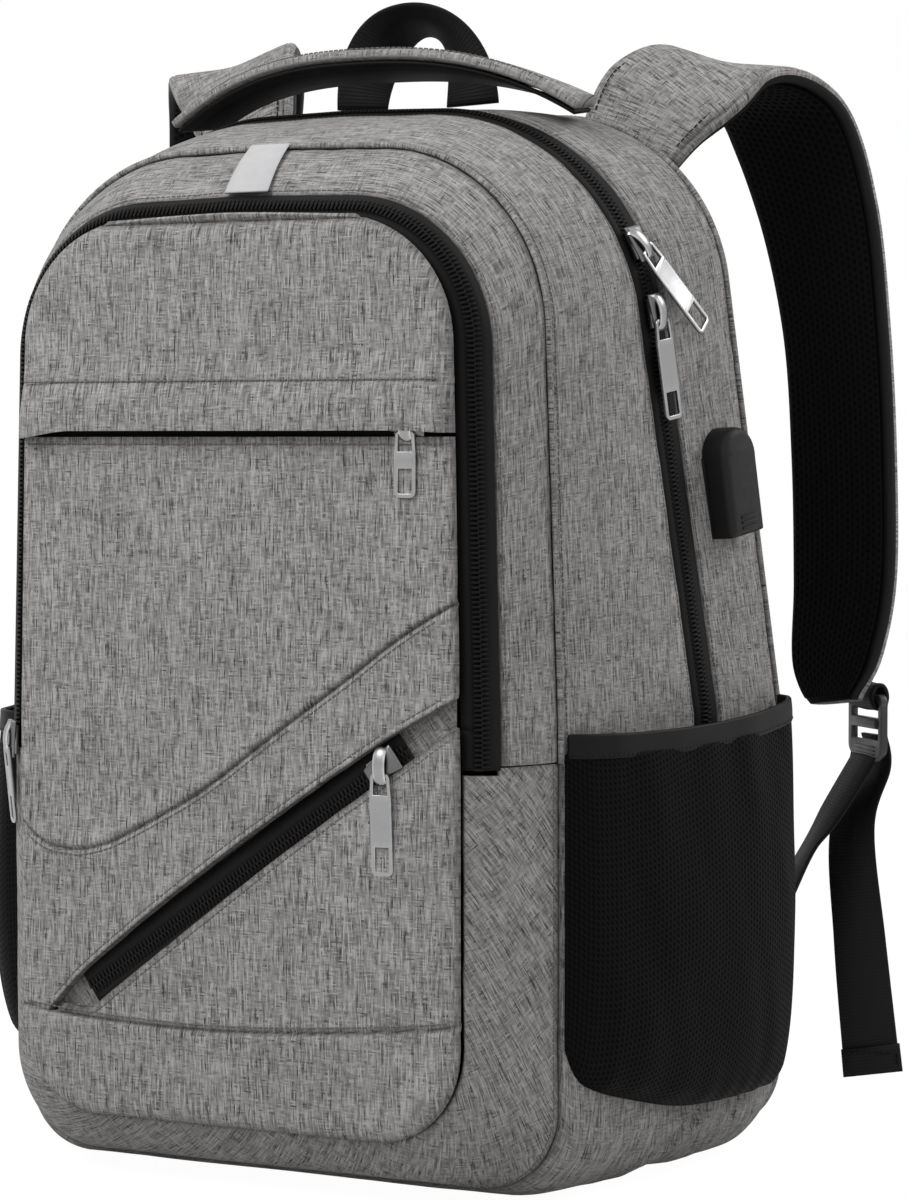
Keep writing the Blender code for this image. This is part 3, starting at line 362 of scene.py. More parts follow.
class Nodes:
    """Adds nodes to a tree. A value passed in may be a socket to link or a plain setting."""

    def __init__(self, tree):
        self.tree = tree

    def add(self, kind, inputs=(), **settings):
        node = self.tree.nodes.new(kind)
        for name, value in settings.items():
            setattr(node, name, value)
        pairs = inputs.items() if isinstance(inputs, dict) else enumerate(inputs)
        for key, value in pairs:
            if value is None:
                continue
            if isinstance(value, bpy.types.NodeSocket):
                self.tree.links.new(value, node.inputs[key])
            else:
                node.inputs[key].default_value = value
        return node

    def math(self, operation, *values, clamp=False):
        return self.add("ShaderNodeMath", values, operation=operation, use_clamp=clamp).outputs[0]

    def plus(self, a, b):
        return self.math("ADD", a, b)

    def minus(self, a, b):
        return self.math("SUBTRACT", a, b)

    def times(self, a, b):
        return self.math("MULTIPLY", a, b)

    def vector(self, operation, *values):
        return self.add("ShaderNodeVectorMath", values, operation=operation).outputs[0]

    def mix(self, share, a, b):
        node = self.add("ShaderNodeMix", data_type="RGBA")
        for socket, value in zip((node.inputs[0], node.inputs[6], node.inputs[7]), (share, a, b)):
            if isinstance(value, bpy.types.NodeSocket):
                self.tree.links.new(value, socket)
            else:
                socket.default_value = value
        return node.outputs[2]

    def blend(self, share, a, b):
        """Plain numbers mixed: a at 0, b at 1."""
        return self.plus(a, self.times(share, self.minus(b, a)))

    def noise(self, vector, scale=1.0, detail=1.0, rough=0.5):
        return self.add("ShaderNodeTexNoise", {"Vector": vector, "Scale": scale, "Detail": detail,
                                               "Roughness": rough}).outputs[0]

    def steps(self, value, low, high, to_low=0.0, to_high=1.0):
        return self.add("ShaderNodeMapRange", [value, low, high, to_low, to_high], clamp=True).outputs[0]

    def split(self, vector):
        node = self.add("ShaderNodeSeparateXYZ", [vector])
        return node.outputs[0], node.outputs[1], node.outputs[2]

    def join(self, x=0.0, y=0.0, z=0.0):
        return self.add("ShaderNodeCombineXYZ", [x, y, z]).outputs[0]


def group(name, inputs, outputs, build):
    """A shader node group, built once. Build gets the nodes and the input sockets, and returns the outputs."""
    found = bpy.data.node_groups.get(name)
    if found:
        return found
    tree = bpy.data.node_groups.new(name, "ShaderNodeTree")
    for label, kind, default in inputs:
        tree.interface.new_socket(label, in_out="INPUT", socket_type=kind).default_value = default
    for label, kind in outputs:
        tree.interface.new_socket(label, in_out="OUTPUT", socket_type=kind)
    nodes = Nodes(tree)
    entry = tree.nodes.new("NodeGroupInput")
    leave = tree.nodes.new("NodeGroupOutput")
    made = build(nodes, {label: entry.outputs[label] for label, _, _ in inputs})
    for (label, _), value in zip(outputs, made):
        tree.links.new(value, leave.inputs[label])
    return tree


FLOAT, COLOUR, VECTOR = "NodeSocketFloat", "NodeSocketColor", "NodeSocketVector"


def heather_weave():
    """Two-tone melange cloth: every thread changes from dark to light along its length, and warp and
    weft cross over and under."""
    def build(n, i):
        turned = n.add("ShaderNodeVectorRotate", {"Vector": i["Coordinates"], "Angle": i["Turn"]},
                       rotation_type="Z_AXIS").outputs[0]
        sway = n.noise(turned, 90.0, 1.0)
        x, y, _ = n.split(turned)
        x = n.plus(n.math("DIVIDE", x, i["Thread"]), n.times(sway, 0.9))
        y = n.plus(n.math("DIVIDE", y, i["Thread"]), n.times(sway, 0.7))
        column, row = n.math("FLOOR", x), n.math("FLOOR", y)
        tones = []
        for cross, run, far, quick in ((column, y, 3.0, 0.06), (row, x, 57.0, 0.11)):
            fine = n.noise(n.join(n.times(cross, 7.31), n.times(run, quick), far), 1.0, 1.0)
            slub = n.noise(n.join(n.times(cross, 1.3), n.times(run, 0.025), far + 9), 1.0, 1.5)
            tones.append(n.plus(n.times(fine, 0.72), n.times(slub, 0.28)))
        over = n.math("FLOORED_MODULO", n.plus(column, row), 2.0)
        lead = n.noise(n.vector("MULTIPLY", turned, (1700.0, 240.0, 1.0)), 1.0, 1.0)
        lead = n.steps(lead, 0.42, 0.62, 0.0, 0.85)
        tone = n.blend(lead, tones[0], tones[1])
        tone = n.steps(tone, i["Dark end"], i["Light end"])
        colour = n.mix(tone, i["Dark"], i["Light"])
        cloud = n.noise(turned, 26.0, 3.0, 0.6)
        colour = n.add("ShaderNodeHueSaturation", {"Value": n.steps(cloud, 0.25, 0.75, 0.93, 1.07), "Color": colour})
        across = n.blend(over, x, y)
        crown = n.math("ABSOLUTE", n.math("SINE", n.times(across, math.pi)))
        colour = n.mix(n.steps(crown, 0.0, 0.5, 0.35, 0.0), colour.outputs[0], i["Dark"])
        height = n.plus(n.times(crown, 0.7), n.times(tone, 0.3))
        return colour, height, tone
    return group("Heather weave",
                 [("Coordinates", VECTOR, (0, 0, 0)), ("Turn", FLOAT, 0.0), ("Thread", FLOAT, 0.0006),
                  ("Dark", COLOUR, (0.05, 0.05, 0.05, 1)), ("Light", COLOUR, (0.5, 0.5, 0.5, 1)),
                  ("Dark end", FLOAT, 0.345), ("Light end", FLOAT, 0.62)],
                 [("Color", COLOUR), ("Height", FLOAT), ("Tone", FLOAT)], build)


def plain_weave():
    """Fine ribs of woven tape or lining: a rib across it and threads along it."""
    def build(n, i):
        x, y, _ = n.split(i["Coordinates"])
        rib = n.math("SINE", n.times(x, n.math("DIVIDE", math.tau, i["Rib"])))
        zig = n.math("PINGPONG", y, n.times(i["Thread"], 4.0))
        thread = n.math("SINE", n.times(n.plus(y, n.times(zig, i["Slant"])),
                                       n.math("DIVIDE", math.tau, i["Thread"])))
        both = n.plus(n.times(rib, 0.5), n.times(n.times(rib, thread), 0.5))
        height = n.steps(both, -1.0, 1.0)
        fluff = n.noise(i["Coordinates"], 900.0, 2.0)
        mask = n.plus(n.times(height, 0.6), n.times(fluff, 0.4))
        return height, mask
    return group("Ribbed weave", [("Coordinates", VECTOR, (0, 0, 0)), ("Rib", FLOAT, 0.0012),
                                  ("Thread", FLOAT, 0.0008), ("Slant", FLOAT, 0.0)],
                 [("Height", FLOAT), ("Mask", FLOAT)], build)


def net_holes():
    """Knitted spacer mesh: rows of round holes, each row half a hole along."""
    def build(n, i):
        wave = n.noise(i["Coordinates"], 60.0, 1.0)
        x, y, _ = n.split(n.vector("SCALE", i["Coordinates"], None, None, n.math("DIVIDE", 1.0, i["Hole"])))
        x = n.plus(x, n.times(wave, 0.5))
        near = []
        for shift in (0.0, 0.5):
            a = n.minus(n.math("FRACT", n.plus(x, shift)), 0.5)
            b = n.math("FRACT", n.plus(n.math("DIVIDE", y, 1.732), shift))
            b = n.times(n.minus(b, 0.5), 1.732)
            near.append(n.math("SQRT", n.plus(n.times(a, a), n.times(b, b))))
        far = n.math("MINIMUM", near[0], near[1])
        return n.steps(far, 0.22, 0.40), n.noise(i["Coordinates"], 1500.0, 1.0)
    return group("Net holes", [("Coordinates", VECTOR, (0, 0, 0)), ("Hole", FLOAT, 0.0026)],
                 [("Yarn", FLOAT), ("Fluff", FLOAT)], build)


def surface_wear():
    """Fine grain, handling marks and rubbed edges. Edge is 1 on a piece's rounded corners."""
    def build(n, i):
        grain = n.noise(i["Coordinates"], i["Grain"], 3.0, 0.6)
        brushed = n.noise(n.vector("MULTIPLY", i["Coordinates"], (3000.0, 3000.0, 160.0)), 1.0, 1.0)
        smear = n.noise(i["Coordinates"], 160.0, 3.0, 0.7)
        edge = n.math("MULTIPLY", i["Edge"], n.steps(smear, 0.3, 0.6), clamp=True)
        return grain, brushed, n.steps(smear, 0.35, 0.7), edge
    return group("Surface wear", [("Coordinates", VECTOR, (0, 0, 0)), ("Grain", FLOAT, 2500.0), ("Edge", FLOAT, 0.0)],
                 [("Grain", FLOAT), ("Brushed", FLOAT), ("Smear", FLOAT), ("Edge", FLOAT)], build)


def finish(name, base, rough, metal=0.0, **plain):
    """A new material, its nodes and its shader. Plain values are set on the shader's own sockets."""
    made = bpy.data.materials.new(name)
    made.use_nodes = True
    shader = made.node_tree.nodes["Principled BSDF"]
    shader.inputs["Base Color"].default_value = (*base[:3], 1)
    shader.inputs["Roughness"].default_value = rough
    shader.inputs["Metallic"].default_value = metal
    for label, value in plain.items():
        shader.inputs[label.replace("_", " ")].default_value = value
    return made, Nodes(made.node_tree), shader


def wire(n, shader, colour=None, rough=None, height=None, depth=0.1 * MM, strength=0.6):
    """Links a colour, a roughness and a height to the shader."""
    links = n.tree.links
    if colour is not None:
        links.new(colour, shader.inputs["Base Color"])
    if rough is not None:
        links.new(rough, shader.inputs["Roughness"])
    if height is not None:
        bump = n.add("ShaderNodeBump", {"Height": height, "Distance": depth, "Strength": strength})
        links.new(bump.outputs[0], shader.inputs["Normal"])


def cloth_coordinates(n):
    return n.add("ShaderNodeUVMap", uv_map="UVMap").outputs[0]


def attribute(n, name):
    return n.add("ShaderNodeAttribute", attribute_name=name).outputs["Fac"]


def rgba(colour, share=1.0):
    return (*(c * share for c in colour[:3]), 1.0)


# Darkens a colour along the seam mask: partly grime in the seams, partly painted shade in their grooves.
def seam_grime_and_shade(n, tone, colour):
    return n.mix(n.times(attribute(n, "seam"), 0.7), tone, rgba(colour, 0.3))


def heather(name, turn=0.0, shade=1.0):
    """The bag's grey cloth, with its threads turned by an angle. A shade below 1 darkens both thread colours as painted
    shade.
    """
    look = bpy.context.scene.backpack_looks
    made, n, shader = finish(name, look.cloth_light, 0.88, Sheen_Weight=0.06, Sheen_Roughness=0.5,
                             Specular_IOR_Level=0.28)
    weave = n.add("ShaderNodeGroup", {
        "Coordinates": cloth_coordinates(n), "Turn": turn, "Thread": bpy.context.scene.backpack_sizes.thread,
        "Dark": rgba(look.cloth_dark, shade), "Light": rgba(look.cloth_light, shade)}, node_tree=heather_weave())
    # Along the seam mask the grey cloth is darkened: partly grime, partly painted shade in the sewn grooves.
    dark = n.mix(n.times(attribute(n, "seam"), 0.75), weave.outputs["Color"], rgba(look.cloth_dark, 0.55))
    rough = n.steps(weave.outputs["Tone"], 0.0, 1.0, 0.94, 0.8)
    wire(n, shader, dark, rough, weave.outputs["Height"], 0.16 * MM, 0.75)
    return made


def ribbed(name, colour, rib, thread, slant=0.0, rough=0.75, lift=1.9, depth=0.12 * MM):
    """Woven tape, webbing or lining in one colour."""
    made, n, shader = finish(name, colour, rough, Sheen_Roughness=0.4, Specular_IOR_Level=0.16)
    weave = n.add("ShaderNodeGroup", {"Coordinates": cloth_coordinates(n), "Rib": rib, "Thread": thread,
                                      "Slant": slant}, node_tree=plain_weave())
    tone = n.mix(weave.outputs["Mask"], rgba(colour, 0.45), rgba(colour, lift))
    tone = seam_grime_and_shade(n, tone, colour)
    wire(n, shader, tone, n.steps(weave.outputs["Mask"], 0.0, 1.0, rough + 0.1, rough - 0.1),
         weave.outputs["Height"], depth, 0.7)
    return made


def netting(name, hole, depth):
    """Black knitted mesh."""
    look = bpy.context.scene.backpack_looks
    made, n, shader = finish(name, look.mesh, 0.8, Specular_IOR_Level=0.1)
    net = n.add("ShaderNodeGroup", {"Coordinates": cloth_coordinates(n), "Hole": hole}, node_tree=net_holes())
    yarn = n.times(net.outputs["Yarn"], n.steps(net.outputs["Fluff"], 0.3, 0.7, 0.75, 1.0))
    tone = n.mix(yarn, rgba(look.mesh, 0.25), rgba(look.mesh, 1.25))
    tone = seam_grime_and_shade(n, tone, look.mesh)
    wire(n, shader, tone, n.steps(yarn, 0.0, 1.0, 0.95, 0.72), yarn, depth, 0.9)
    return made


def hard(name, colour, rough, metal, worn, marks, grain=2500.0, depth=0.02 * MM, **plain):
    """Moulded or cast stuff with grain, handling marks and lighter rubbed edges."""
    made, n, shader = finish(name, colour, rough, metal, **plain)
    wear = n.add("ShaderNodeGroup", {"Coordinates": n.add("ShaderNodeTexCoord").outputs["Object"],
                                     "Edge": attribute(n, "edge"), "Grain": grain}, node_tree=surface_wear())
    tone = n.mix(wear.outputs["Edge"], rgba(colour), rgba(worn))
    tone = n.mix(n.times(wear.outputs["Smear"], 0.25), tone, rgba(colour, 0.7))
    spread = n.plus(n.times(wear.outputs["Smear"], marks),
                    n.times(wear.outputs["Brushed"], marks * 0.5))
    level = n.plus(rough - marks * 0.6, spread)
    wire(n, shader, tone, level, wear.outputs["Grain"], depth, 0.35)
    return made


def make_materials():
    """Every finish of the bag, by name."""
    look = bpy.context.scene.backpack_looks
    return {
        "cloth": heather("Grey heather cloth"),
        "cloth_bias": heather("Grey heather cloth, cut on the bias", math.radians(45)),
        # A darker copy of the grey cloth: painted shade for the strip seen inside the diagonal pocket's opening.
        "cloth_slot": heather("Grey heather cloth, behind the diagonal pocket", math.radians(-36), 0.86),
        "cloth_strap": heather("Grey heather cloth, straps", 0.0, 1.0),
        "pocket_net": netting("Black pocket net", 2.5 * MM, 0.25 * MM),
        "air_mesh": netting("Black air mesh", 3.4 * MM, 0.5 * MM),
        "webbing": ribbed("Black webbing", look.webbing, 1.5 * MM, 0.9 * MM, 0.6, 0.62, depth=0.2 * MM),
        "binding": ribbed("Black binding", look.webbing, 0.55 * MM, 0.5 * MM, 0.0, 0.55, 1.5, 0.05 * MM),
        "zip_tape": ribbed("Black zip tape", look.zip, 0.9 * MM, 0.7 * MM, 0.9, 0.7),
        "lining": ribbed("Black lining", look.lining, 0.5 * MM, 0.5 * MM, 0.0, 0.6, 1.4, 0.04 * MM),
        "thread_grey": ribbed("Grey thread", look.thread, 0.35 * MM, 0.3 * MM, 0.0, 0.6, 1.3, 0.05 * MM),
        "thread_black": ribbed("Black thread", look.webbing, 0.35 * MM, 0.3 * MM, 0.0, 0.5, 2.0, 0.05 * MM),
        "coil": hard("Black nylon coil", look.coil, 0.62, 0.0, (0.015, 0.015, 0.015), 0.12, Specular_IOR_Level=0.14),
        "nickel": hard("Gunmetal nickel", look.metal, 0.3, 1.0, (0.78, 0.78, 0.78), 0.12),
        "slider": hard("Dark slider metal", [c * 0.42 for c in look.metal], 0.34, 1.0, (0.5, 0.5, 0.5), 0.12),
        "buckle": hard("Black buckle plastic", look.plastic, 0.42, 0.0, (0.09, 0.09, 0.09), 0.12, 1800.0),
        "rubber": hard("Black charging port rubber", look.rubber, 0.55, 0.0, (0.03, 0.03, 0.032), 0.1, 1600.0,
                       0.03 * MM, Specular_IOR_Level=0.25),
        "reflective": hard("Silver reflective tape", look.reflective, 0.42, 0.0, (0.85, 0.85, 0.86), 0.1, 1400.0,
                           0.02 * MM),
        "board": hard("Black base board", (0.05, 0.05, 0.053), 0.6, 0.0, (0.1, 0.1, 0.1), 0.1, 900.0, 0.1 * MM),
    }


FINISHES = {}


def material_of(name):
    if not FINISHES:
        FINISHES.update(make_materials())
    return FINISHES[name]


# ---------------------------------------------------------------- pieces

def link(obj):
    bpy.context.scene.collection.objects.link(obj)


def deselect():
    if bpy.context.mode != "OBJECT":
        bpy.ops.object.mode_set(mode="OBJECT")
    for obj in bpy.context.selected_objects:
        obj.select_set(False)


def activate(obj):
    deselect()
    obj.select_set(True)
    bpy.context.view_layer.objects.active = obj


def apply_modifiers(obj):
    activate(obj)
    for change in list(obj.modifiers):
        bpy.ops.object.modifier_apply(modifier=change.name)


def dress(obj, *finishes):
    """Gives a piece its materials."""
    obj.data.materials.clear()
    for name in finishes:
        obj.data.materials.append(material_of(name))
    return obj


def belongs(piece, body, *nodes):
    """Puts a piece on its body, and says which pieces of the frame it stands for."""
    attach(piece, body)
    if nodes:
        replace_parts(piece, *nodes)


def mesh_from(name, points, faces, maps, seam):
    """A mesh object from arrays. Maps is one UV point, in metres, for each mesh point."""
    data = bpy.data.meshes.new(name)
    data.from_pydata(np.asarray(points, float).tolist(), [], np.asarray(faces).tolist()
                     if isinstance(faces, np.ndarray) else faces)
    layer = data.uv_layers.new(name="UVMap")
    corner = np.empty(len(data.loops), np.int32)
    data.loops.foreach_get("vertex_index", corner)
    layer.uv.foreach_set("vector", np.asarray(maps, np.float32)[corner].ravel())
    # The seam mask, 0 to 1: where the materials darken the cloth, partly as grime and partly as painted shade.
    spot = data.attributes.new("seam", "FLOAT", "POINT")
    spot.data.foreach_set("value", np.asarray(seam, np.float32).ravel())
    data.polygons.foreach_set("use_smooth", [True] * len(data.polygons))
    obj = bpy.data.objects.new(name, data)
    link(obj)
    return obj


def grid_faces(rows, columns, keep=None, flip=False, wrap=False):
    """Quads of a grid; wrap joins its last column to its first."""
    r, c = np.meshgrid(np.arange(rows - 1), np.arange(columns if wrap else columns - 1), indexing="ij")
    ahead = (c + 1) % columns
    a, b = r * columns + c, r * columns + ahead
    d, e = a + columns, b + columns
    quads = np.stack([a, d, e, b], -1)
    if keep is not None:
        quads = quads[keep]
    quads = quads.reshape(-1, 4)
    return quads[:, ::-1] if flip else quads


def cloth(name, grid, outward, thick, outer, inner="lining", maps=None, seam=None, keep=None, cut=None,
          hem=0.6 * MM, weld=False):
    """A panel of cloth. The grid is its outer face; its thickness goes inwards and its edges are rounded.
    Cut is (point, normal): what lies on the normal's side of that plane is cut off."""
    rows, columns = grid.shape[:2]
    n = normals_of(grid, outward)
    plain = np.cross(np.gradient(grid, axis=0), np.gradient(grid, axis=1))
    flip = bool(np.sum(plain * n) < 0)
    maps = cloth_map(grid) if maps is None else maps
    seam = np.zeros((rows, columns)) if seam is None else seam
    obj = mesh_from(name, grid.reshape(-1, 3), grid_faces(rows, columns, keep, flip), maps.reshape(-1, 2), seam)
    work = bmesh.new()
    work.from_mesh(obj.data)
    if weld:
        bmesh.ops.remove_doubles(work, verts=work.verts, dist=1e-6)
    if cut is not None:
        bmesh.ops.bisect_plane(work, geom=work.verts[:] + work.edges[:] + work.faces[:], dist=1e-7,
                               plane_co=cut[0], plane_no=cut[1], clear_outer=True)
    loose = [v for v in work.verts if not v.link_faces]
    bmesh.ops.delete(work, geom=loose, context="VERTS")
    work.to_mesh(obj.data)
    work.free()
    dress(obj, outer, inner)
    wall = obj.modifiers.new("Thickness", "SOLIDIFY")
    wall.thickness = thick
    wall.offset = -1.0
    wall.material_offset = 1
    if hem:
        edge = obj.modifiers.new("Hem", "BEVEL")
        edge.width = hem
        edge.segments = 2
        edge.limit_method = "ANGLE"
        edge.angle_limit = math.radians(50)
    apply_modifiers(obj)
    return obj


def tidy_normals(obj):
    work = bmesh.new()
    work.from_mesh(obj.data)
    bmesh.ops.recalc_face_normals(work, faces=work.faces)
    work.to_mesh(obj.data)
    work.free()


def tube(name, sections, finishes):
    """A closed form through rings of points, given as an array (rings, points, 3)."""
    sections = np.asarray(sections, float)
    rings, count = sections.shape[:2]
    faces = grid_faces(rings, count, wrap=True).tolist()
    faces.append(list(range(count)))
    faces.append(list(range((rings - 1) * count, rings * count))[::-1])
    step = np.linalg.norm(np.roll(sections[rings // 2], -1, axis=0) - sections[rings // 2], axis=1)
    round_it = np.concatenate([[0], np.cumsum(step)[:-1]])
    maps = np.stack(np.broadcast_arrays(way_along(sections.mean(1))[:, None], round_it), -1)
    obj = mesh_from(name, sections.reshape(-1, 3), faces, maps.reshape(-1, 2),
                    np.zeros(rings * count))
    tidy_normals(obj)
    return dress(obj, *finishes)


def copies(name, shape, places, finishes):
    """One mesh of many copies of a small shape. Places are (point, X, Y, Z) arrays of frames."""
    points, faces = shape
    at, x, y, z = (np.asarray(p, float) for p in places)
    moved = (at[:, None, :] + points[None, :, 0:1] * x[:, None, :] + points[None, :, 1:2] * y[:, None, :]
             + points[None, :, 2:3] * z[:, None, :])
    count = len(points)
    all_faces = [[k + s * count for k in face] for s in range(len(at)) for face in faces]
    maps = np.tile(points[:, :2], (len(at), 1))
    obj = mesh_from(name, moved.reshape(-1, 3), all_faces, maps, np.zeros(len(at) * count))
    return dress(obj, *finishes)


def points_of(obj):
    return np.array([v.co for v in obj.data.vertices])


def shape_of(obj):
    """A piece's points and faces; the piece is removed."""
    points = points_of(obj)
    faces = [list(p.vertices) for p in obj.data.polygons]
    bpy.data.objects.remove(obj, do_unlink=True)
    return points, faces


def paced(points, normals, pitch, first=0.5):
    """Frames at an even pitch along a line that lies on a surface with these normals."""
    way = way_along(points)
    spots = (np.arange(max(1, int(way[-1] / pitch))) + first) * pitch
    spots = spots[spots < way[-1]]

    def at(where, values):
        return np.stack([np.interp(where, way, values[:, k]) for k in range(3)], 1)
    x = unit(at(spots + pitch * 0.3, points) - at(spots - pitch * 0.3, points))
    y = unit(np.cross(unit(at(spots, normals)), x))
    return at(spots, points), x, y, np.cross(x, y)


def stitch_shape():
    """One stitch: a short round thread whose ends go down into the cloth."""
    obj = added(bpy.ops.mesh.primitive_cylinder_add, vertices=6, radius=0.32 * MM, depth=1.7 * MM,
                location=(0, 0, 0), rotation=(0, math.pi / 2, 0))
    edit(obj, lambda centre, normal: abs(normal.x) > 0.9,
         extruded(0, 0, -0.35 * MM),
         resized(1.25, 0.5, 0.5, (0, 0, -0.3 * MM)))
    return shape_of(obj)


def stitching(name, runs, pitch=2.5 * MM, finish_name="thread_grey"):
    """Rows of stitches. A run is (points, normals)."""
    frames = [paced(points, normals, pitch) for points, normals in runs]
    places = [np.concatenate([f[k] for f in frames]) for k in range(4)]
    if "stitch" not in SHAPES:
        SHAPES["stitch"] = stitch_shape()
    return copies(name, SHAPES["stitch"], places, [finish_name])


SHAPES = {}


def along_edge(grid, normals, distance, last=False):
    """The line on a grid that runs beside its first or last row at a distance, and its normals."""
    down, _ = lengths(grid)
    if last:
        down = down[-1] - down
        down, grid, normals = down[::-1], grid[::-1], normals[::-1]
    made, up = [], []
    for c in range(grid.shape[1]):
        made.append([np.interp(distance, down[:, c], grid[:, c, k]) for k in range(3)])
        up.append([np.interp(distance, down[:, c], normals[:, c, k]) for k in range(3)])
    return np.array(made), unit(np.array(up))


# ---------------------------------------------------------------- modelling by hand

def choose(obj, test, kind="FACE"):
    """Selects the faces or edges that pass a test of their centre and normal or direction."""
    if bpy.context.mode != "OBJECT":
        bpy.ops.object.mode_set(mode="OBJECT")
    bpy.context.tool_settings.mesh_select_mode = (False, kind == "EDGE", kind == "FACE")
    data = obj.data
    for item in (*data.vertices, *data.edges, *data.polygons):
        item.select = False
    if kind == "FACE":
        for face in data.polygons:
            face.select = bool(test(face.center, face.normal))
    else:
        for edge in data.edges:
            a, b = (data.vertices[k].co for k in edge.vertices)
            edge.select = bool(test((a + b) / 2, (b - a).normalized()))
    bpy.ops.object.mode_set(mode="EDIT")
    bpy.ops.object.mode_set(mode="OBJECT")


def edit(obj, test, *steps, kind="FACE"):
    """Selects by a test and runs edit-mode operators on what is selected."""
    activate(obj)
    choose(obj, test, kind)
    bpy.ops.object.mode_set(mode="EDIT")
    for step in steps:
        step()
    bpy.ops.object.mode_set(mode="OBJECT")
    return obj


def resized(x, y, z, centre=(0, 0, 0)):
    """A step that scales what is selected about a centre."""
    return lambda: bpy.ops.transform.resize(value=(x, y, z), center_override=centre)


def extruded(x, y, z):
    return lambda: bpy.ops.mesh.extrude_region_move(TRANSFORM_OT_translate={"value": (x, y, z)})


def inset(thickness, depth=0.0):
    return lambda: bpy.ops.mesh.inset(thickness=thickness, depth=depth)


def bevelled(offset, segments):
    return lambda: bpy.ops.mesh.bevel(offset=offset, segments=segments)


def bisected(point, normal, **cut):
    return lambda: bpy.ops.mesh.bisect(plane_co=point, plane_no=normal, **cut)


def added(operator, **settings):
    """The shape that an operator adds, with its place and turn applied."""
    deselect()
    operator(**settings)
    bpy.ops.object.transform_apply(location=True, rotation=True, scale=True)
    return bpy.context.active_object


def block(name, size, centre=(0, 0, 0)):
    """A box to start from."""
    deselect()
    bpy.ops.mesh.primitive_cube_add(size=1.0, location=centre)
    obj = bpy.context.active_object
    obj.name = name
    obj.scale = size
    bpy.ops.object.transform_apply(location=True, rotation=True, scale=True)
    return obj


def slice_at(obj, point, normal):
    """Cuts an edge loop across a piece."""
    return edit(obj, lambda centre, n: True, bisected(point, normal))


def window(obj, low, high, frame_width):
    """Cuts a window through a plate between low and high along X, leaving a frame."""
    def inside(centre, normal):
        return abs(normal.z) > 0.9 and low < centre.x < high
    edit(obj, inside, lambda: bpy.ops.mesh.inset(thickness=frame_width, depth=0, use_individual=False),
         lambda: bpy.ops.mesh.bridge_edge_loops())
    return obj


def shaded(obj):
    """Marks a piece's sharp turns as the ones that get rubbed, and smooths it."""
    mark_edges(obj)
    activate(obj)
    bpy.ops.object.shade_smooth_by_angle(angle=math.radians(40))
    return obj


def rounded(obj, width, angle=30.0):
    """Bevels a piece's sharp edges."""
    edge = obj.modifiers.new("Edges", "BEVEL")
    edge.width = width
    edge.segments = 2
    edge.limit_method = "ANGLE"
    edge.angle_limit = math.radians(angle)
    apply_modifiers(obj)
    return shaded(obj)


def mark_edges(obj):
    """Stores on each point how sharply the surface turns there."""
    data = obj.data
    total = np.zeros((len(data.vertices), 3))
    count = np.zeros(len(data.vertices))
    for face in data.polygons:
        for k in face.vertices:
            total[k] += face.normal
            count[k] += 1
    turn = 1 - np.linalg.norm(total, axis=1) / np.maximum(count, 1)
    spot = data.attributes.get("edge") or data.attributes.new("edge", "FLOAT", "POINT")
    spot.data.foreach_set("value", np.clip(turn * 6, 0, 1).astype(np.float32))


def put(obj, matrix, name=None):
    """Moves a finished piece's mesh to its place."""
    obj.data.transform(matrix)
    obj.data.update()
    if name:
        obj.name = name
        obj.data.name = name
    return obj


def joined(first, *others):
    activate(first)
    for other in others:
        other.select_set(True)
    bpy.ops.object.join()
    return first


def twin(obj, name):
    """A copy with its own mesh."""
    made = obj.copy()
    made.data = obj.data.copy()
    made.name = name
    made.parent = None
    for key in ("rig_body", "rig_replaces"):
        if key in made:
            del made[key]
    link(made)
    return made


def frame_matrix(origin, x_axis, y_axis):
    """A frame with its X and Y as given; Z completes it."""
    x = Vector(x_axis).normalized()
    z = x.cross(Vector(y_axis)).normalized()
    y = z.cross(x)
    return Matrix.Translation(origin) @ Matrix((x, y, z)).transposed().to_4x4()


# ---------------------------------------------------------------- front panels

def sizes():
    return bpy.context.scene.backpack_sizes


def panel_width(z):
    """Half-width of the front panels."""
    return width_at("face", z) - 0.3 * MM


def panel_outline():
    """The front panels' outline as (x, z) in millimetres, closed."""
    s = STATIONS["face"]
    z = np.concatenate([s[2] + s[4] * (1 - np.cos(np.linspace(0, np.pi / 2, 20))), np.linspace(0.068, 0.335, 60),
                        s[3] - CROWN - s[5] * (1 - np.sin(np.linspace(0, np.pi / 2, 24))) * 0.98])
    w = panel_width(z)
    right = np.stack([w, z], 1)
    return np.concatenate([right, (right * (-1, 1))[::-1], right[:1]]) / MM


